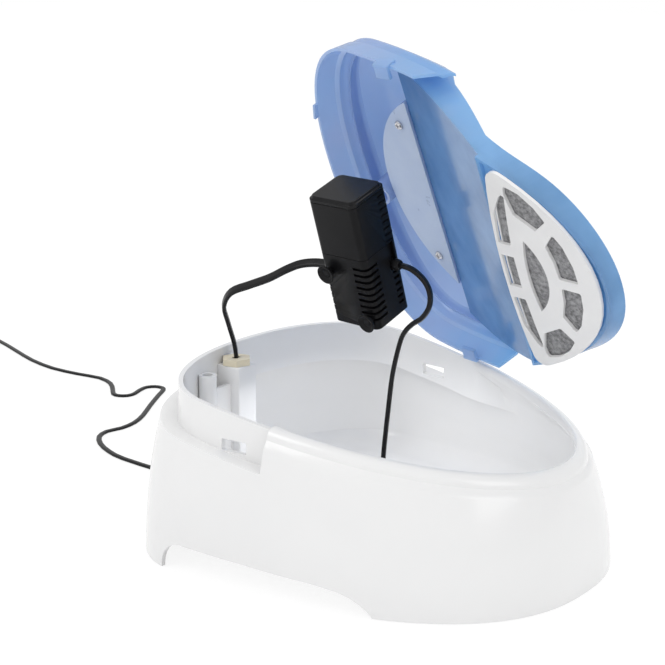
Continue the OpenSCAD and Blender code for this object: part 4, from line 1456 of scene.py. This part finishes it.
@dataclass
class Leads:
    """The pump's two leads, the lead in the tower, the supply cord and its plug-in adapter.

    Routes, places and the coil are in millimetres, and the cords' widths are in metres.
    """

    pump_route: tuple[Triple, ...] = (
        (-107, -27, 112.4), (-107, -29, 123), (-106, -36, 139), (-103, -43, 152), (-94, -46, 163),
        (-78, -46, 170), (-61, -46, 177), (-48, -45, 184), (-38, -42.5, 188.5), (-28, -40, 190.3),
        (-19.2, -39, 190.4),
    )
    lamp_route: tuple[Triple, ...] = (
        (29.1, -27.3, 193.9), (36, -26.5, 192.5), (41.5, -24, 188), (45, -21.5, 182), (46.5, -20.5, 175),
        (46, -21.5, 168), (43, -24.5, 162), (39, -28.5, 158.5), (36.5, -33, 154), (35.5, -37, 147),
        (33, -40.5, 128), (31, -42, 105), (28.5, -42.5, 80), (27, -43.5, 55), (24, -46, 35),
        (17, -50, 25), (6.7, -52.8, 22.5),
    )
    tower_route: tuple[Triple, ...] = (
        (-143, -0.3, 11.8), (-134, -3, 10.5), (-123, -12, 9), (-113, -22, 9.5), (-108, -26.5, 15),
        (-107, -27, 26), (-107, -27, 60), (-107, -27, 98.9),
    )
    supply_route: tuple[Triple, ...] = (
        (-157.7, 0, 12), (-166, 0, 10.5), (-178, 0, 6), (-192, 0, 2.4), (-210, 1, 1.3), (-250, 3, 1.3),
        (-271, 8, 1.3), (-290, 17, 1.3), (-304, 29, 1.3), (-309, 42, 1.3), (-306, 56, 1.3),
        (-308, 72, 1.3), (-316, 90, 1.3), (-331, 114, 1.3), (-347, 141, 1.3), (-354.5, 154.5, 1.3),
        (-360.3, 159, 1.3), (-367.6, 158.2, 1.3), (-372.1, 152.4, 1.3), (-371.9, 146.5, 1.3),
        (-369.5, 138.6, 1.3), (-366.6, 130.8, 1.3), (-367.1, 123.4, 1.3), (-372.7, 118.7, 1.3),
        (-380.1, 119.2, 1.3), (-391, 128.7, 1.3), (-406, 140.5, 1.3), (-426, 147, 1.3), (-452, 144, 1.3),
        (-484, 143, 1.3), (-520, 150, 1.3), (-557, 163, 1.3), (-600, 178, 1.3), (-630, 182, 1.3),
        (-657.3, 173.8, 1.3),
    )
    tail_route: tuple[Triple, ...] = (
        (-700.5, 147.5, 11.6), (-706, 136, 12.3), (-713.5, 125.5, 11.8), (-724.5, 120, 11),
    )
    lead_w: float = 0.006
    lead_t: float = 0.0032
    cord_w: float = 0.0044
    cord_t: float = 0.0024
    coil_at: Triple = (-676.0, 142.0, 0.0)
    coil_r: float = 27.0
    coil_pitch: float = 4.4
    coil_lift: float = 4.2
    coil_turns: tuple[float, ...] = (3.0, 3.0, 2.15)
    coil_start: float = 90.0
    coil_steps: int = 24
    cord_lie: float = 1.3
    coil_across: float = 3.0
    capsule_at: Triple = (6.0, -53.0, 22.3)
    capsule_profile: tuple[Pair, ...] = (
        (0.0, 0.0), (2.7, 0.0), (3.0, 0.25), (4.2, 1.2), (5.0, 2.3), (5.2, 3.0), (5.2, 6.4), (4.9, 6.6),
        (4.9, 7.3), (5.2, 7.5), (5.2, 14.4), (4.8, 16.4), (3.7, 18.2), (2.0, 19.3), (0.0, 19.6),
    )
    adapter_at: Triple = (-745.0, 120.0, 0.0)
    adapter_size: Triple = (42.0, 34.0, 22.0)
    seam_z: float = 15.2

    def lead(
        self, node: str, points: Sequence[Triple], width: float, wide_way: Triple
    ) -> tuple[Piece, list[Vector]]:
        """Builds one flat lead.

        Args:
            node: The CAD node that it stands for.
            points: The points that it goes through, in millimetres.
            width: Its width in metres.
            wide_way: The way that its width lies at its start.

        Returns:
            The lead and its route in metres.
        """
        route = refined(points, 4)
        lead = FlatCord(f"{node}_flat", route, width, self.lead_t, Vector(wide_way)).build()
        Fitting("base", (node,), "cord", SHEATH_BLACK).fit(lead, 50.0)
        return lead, route

    def pump_leads(self) -> None:
        """Builds the leads that go to the pump, the lamp and through the tower."""
        lead, route = self.lead("pump_lead", self.pump_route, self.lead_w, (-0.6, 0.75, 0.0))
        tuple(route[0])
        route_length(route)
        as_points(route)
        width = self.lead_w * 0.8
        lamp, route = self.lead("lamp_lead", self.lamp_route, width, (0.3, 1.0, 0.0))
        tuple(route[0])
        route_length(route)
        self.capsule()
        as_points(route)
        self.lead("tower_lead", self.tower_route, self.lead_w, (0.2, 1.0, 0.0))

    def capsule(self) -> Piece:
        """Builds the small sealed lamp at the end of the second lead."""
        lamp = spun("lamp_capsule_clear", self.capsule_profile)
        turn = upright_turn(18.0) @ Matrix.Rotation(math.radians(-90.0), 4, "Y")
        lamp.data.transform(Matrix.Translation(self.capsule_at) @ turn)
        return Fitting("base", ("lamp_capsule",), "lens", LENS_PINK).fit(settle(lamp))

    def coil_route(self) -> list[Triple]:
        """The hand-wound coil: layers of turns that step in and out, one layer on the next."""
        route, done = [], 0.0
        cx, cy, _ = self.coil_at
        for layer, turns in enumerate(self.coil_turns):
            for step in range(round(turns * self.coil_steps)):
                share = step / self.coil_steps
                column = self.coil_across / 2 - share
                if layer % 2:
                    column = -column
                rise = min(1.0, share * 2.0) if layer else 1.0
                z = self.cord_lie + self.coil_lift * (layer - 1 + rise)
                a = math.radians(self.coil_start) + math.tau * (done + share)
                r = self.coil_r + self.coil_pitch * column
                route.append((cx + r * math.cos(a), cy + r * math.sin(a), z))
            done += turns
        LOG.info("coil of %.2f turns in %d layers", done, len(self.coil_turns))
        return route

    def supply(self) -> None:
        """Builds the supply cord with its coil, and the adapter at its end."""
        body, pins = self.adapter()
        route = refined([*self.supply_route, *self.coil_route(), *self.tail_route], 2)
        cord = FlatCord(
            "supply_cord_flat", route, self.cord_w, self.cord_t, Vector((0.0, 1.0, 0.0)), 14, True
        ).build()
        Fitting("base", ("supply_cord", "cord_coil"), "cord", SHEATH_BLACK).fit(cord, 50.0)
        route_length(route)

    def adapter(self) -> tuple[Piece, Piece]:
        """Builds the plug-in adapter and its two pins.

        Returns:
            The body and the pins.
        """
        (x, y, _), (long, wide, tall) = self.adapter_at, self.adapter_size
        body = block("adapter", self.adapter_size, (x, y, tall / 2), edge=2.6)
        seam = block("seam", (60.0, 60.0, 0.6), (x, y, self.seam_z))
        core = block("core", (long - 1.0, wide - 1.0, 4.0), (x, y, self.seam_z), edge=1.6)
        carve(body, [carve(seam, [core])])
        body.name = "adapter_shell"
        Fitting("base", ("adapter_body",), "black", PUMP_BLACK).fit(settle(body))
        pins = Fitting("base", ("adapter_pins",), "steel", BRIGHT_STEEL).copy("adapter_prongs", 0.0006, 3)
        return body, pins

    def build(self) -> None:
        """Builds every lead and the cord."""
        self.pump_leads()
        self.supply()


# ---- studio -----------------------------------------------------------------------------


@dataclass
class Studio:
    """The camera, the lamps, and a white floor that keeps the object's soft shadow."""

    eye: Triple = (0.5755, -0.795, 0.3945)
    looks_along: Triple = (-0.596, 0.763, -0.250)
    lens: float = 85.0
    sensor_w: float = 36.0
    floor_half: float = 6.0
    floor_z: float = -0.0002
    world_light: float = 0.76
    paper_white: float = 0.9
    paper_glow: float = 1.08
    glow_share: float = 0.82

    def hold(self, name: str, data: bpy.types.ID, at: Triple, along: Vector) -> Piece:
        """Puts a camera or a lamp in its place, facing one way.

        Args:
            name: Its name.
            data: The camera or the lamp.
            at: Where it is.
            along: The way that it faces.

        Returns:
            The object that holds it.
        """
        held = bpy.data.objects.new(name, data)
        held.location = at
        held.rotation_mode = "QUATERNION"
        held.rotation_quaternion = along.to_track_quat("-Z", "Y")
        bpy.context.scene.collection.objects.link(held)
        return held

    def camera(self) -> None:
        """Makes the camera."""
        data = bpy.data.cameras.new("camera")
        data.lens = self.lens
        data.sensor_width = self.sensor_w
        bpy.context.scene.camera = self.hold("camera", data, self.eye, Vector(self.looks_along))

    def lamp(
        self, name: str, at: Triple, size: float, power: float, target: Triple = (-0.02, 0.0, 0.12)
    ) -> None:
        """Makes one softbox, which the camera doesn't see.

        Args:
            name: The lamp's name.
            at: Where it hangs.
            size: The length of its side.
            power: Its power in watts.
            target: The place that it faces.
        """
        data = bpy.data.lights.new(name, "AREA")
        data.size = size
        data.energy = power
        self.hold(name, data, at, Vector(target) - Vector(at)).visible_camera = False

    def white_seen(self, tree: Tree) -> Socket:
        """Adds what tells a ray from the eye, a mirror or a clear wall from a ray of light.

        Args:
            tree: The node tree.

        Returns:
            The socket that is 1 for such a ray.
        """
        path = tree.nodes.new("ShaderNodeLightPath")
        seen = path.outputs["Is Camera Ray"]
        for kind in ("Is Glossy Ray", "Is Transmission Ray"):
            either = tree.nodes.new("ShaderNodeMath")
            either.operation = "MAXIMUM"
            tree.links.new(seen, either.inputs[0])
            tree.links.new(path.outputs[kind], either.inputs[1])
            seen = either.outputs[0]
        return seen

    def world(self) -> None:
        """Makes an even white surround."""
        world = bpy.data.worlds.new("surround")
        bpy.context.scene.world = world
        world.use_nodes = True
        tree = world.node_tree
        back = tree.nodes["Background"]
        back.inputs["Color"].default_value = (1.0, 1.0, 1.0, 1.0)
        level = tree.nodes.new("ShaderNodeMapRange")
        level.inputs["To Min"].default_value = self.world_light
        level.inputs["To Max"].default_value = 1.0
        path = tree.nodes.new("ShaderNodeLightPath")
        tree.links.new(path.outputs["Is Camera Ray"], level.inputs["Value"])
        tree.links.new(level.outputs["Result"], back.inputs["Strength"])

    def floor(self) -> None:
        """Makes the floor, white to the eye but for a soft shadow."""
        bm = bmesh.new()
        bmesh.ops.create_grid(bm, x_segments=1, y_segments=1, size=self.floor_half)
        floor = new_piece("studio_floor", bm)
        floor.location.z = self.floor_z
        material = bpy.data.materials.new("studio_white")
        material.use_nodes = True
        tree = material.node_tree
        paper = tree.nodes["Principled BSDF"]
        paper.inputs["Base Color"].default_value = (*[self.paper_white] * 3, 1.0)
        paper.inputs["Roughness"].default_value = 0.9
        glow = tree.nodes.new("ShaderNodeEmission")
        glow.inputs["Strength"].default_value = self.paper_glow
        blend = tree.nodes.new("ShaderNodeMixShader")
        share = tree.nodes.new("ShaderNodeMath")
        share.operation = "MULTIPLY"
        share.inputs[1].default_value = self.glow_share
        tree.links.new(self.white_seen(tree), share.inputs[0])
        tree.links.new(share.outputs[0], blend.inputs["Fac"])
        tree.links.new(paper.outputs["BSDF"], blend.inputs[1])
        tree.links.new(glow.outputs["Emission"], blend.inputs[2])
        tree.links.new(blend.outputs["Shader"], tree.nodes["Material Output"].inputs["Surface"])
        floor.data.materials.append(material)

    def build(self) -> None:
        """Sets up the whole studio."""
        self.camera()
        self.lamp("key", (-0.7, -1.5, 1.7), 1.1, 11.0)
        self.lamp("fill", (1.7, -0.5, 1.0), 1.0, 5.0)
        self.lamp("top", (0.1, 0.9, 1.8), 1.0, 7.0)
        self.lamp("tank_fill", (-0.02, 0.0, 0.098), 0.11, 0.072, (-0.02, 0.0, 0.0))
        self.world()
        self.floor()
        bpy.context.scene.view_settings.view_transform = "Standard"


def main() -> None:
    """Builds the studio and then every piece of the fountain."""
    logging.basicConfig(level=logging.INFO, format="%(message)s")
    Studio().build()
    Leads().build()
    Pump().build()
    Lid().build()
    Tank().build()


if __name__ == "__main__":
    main()
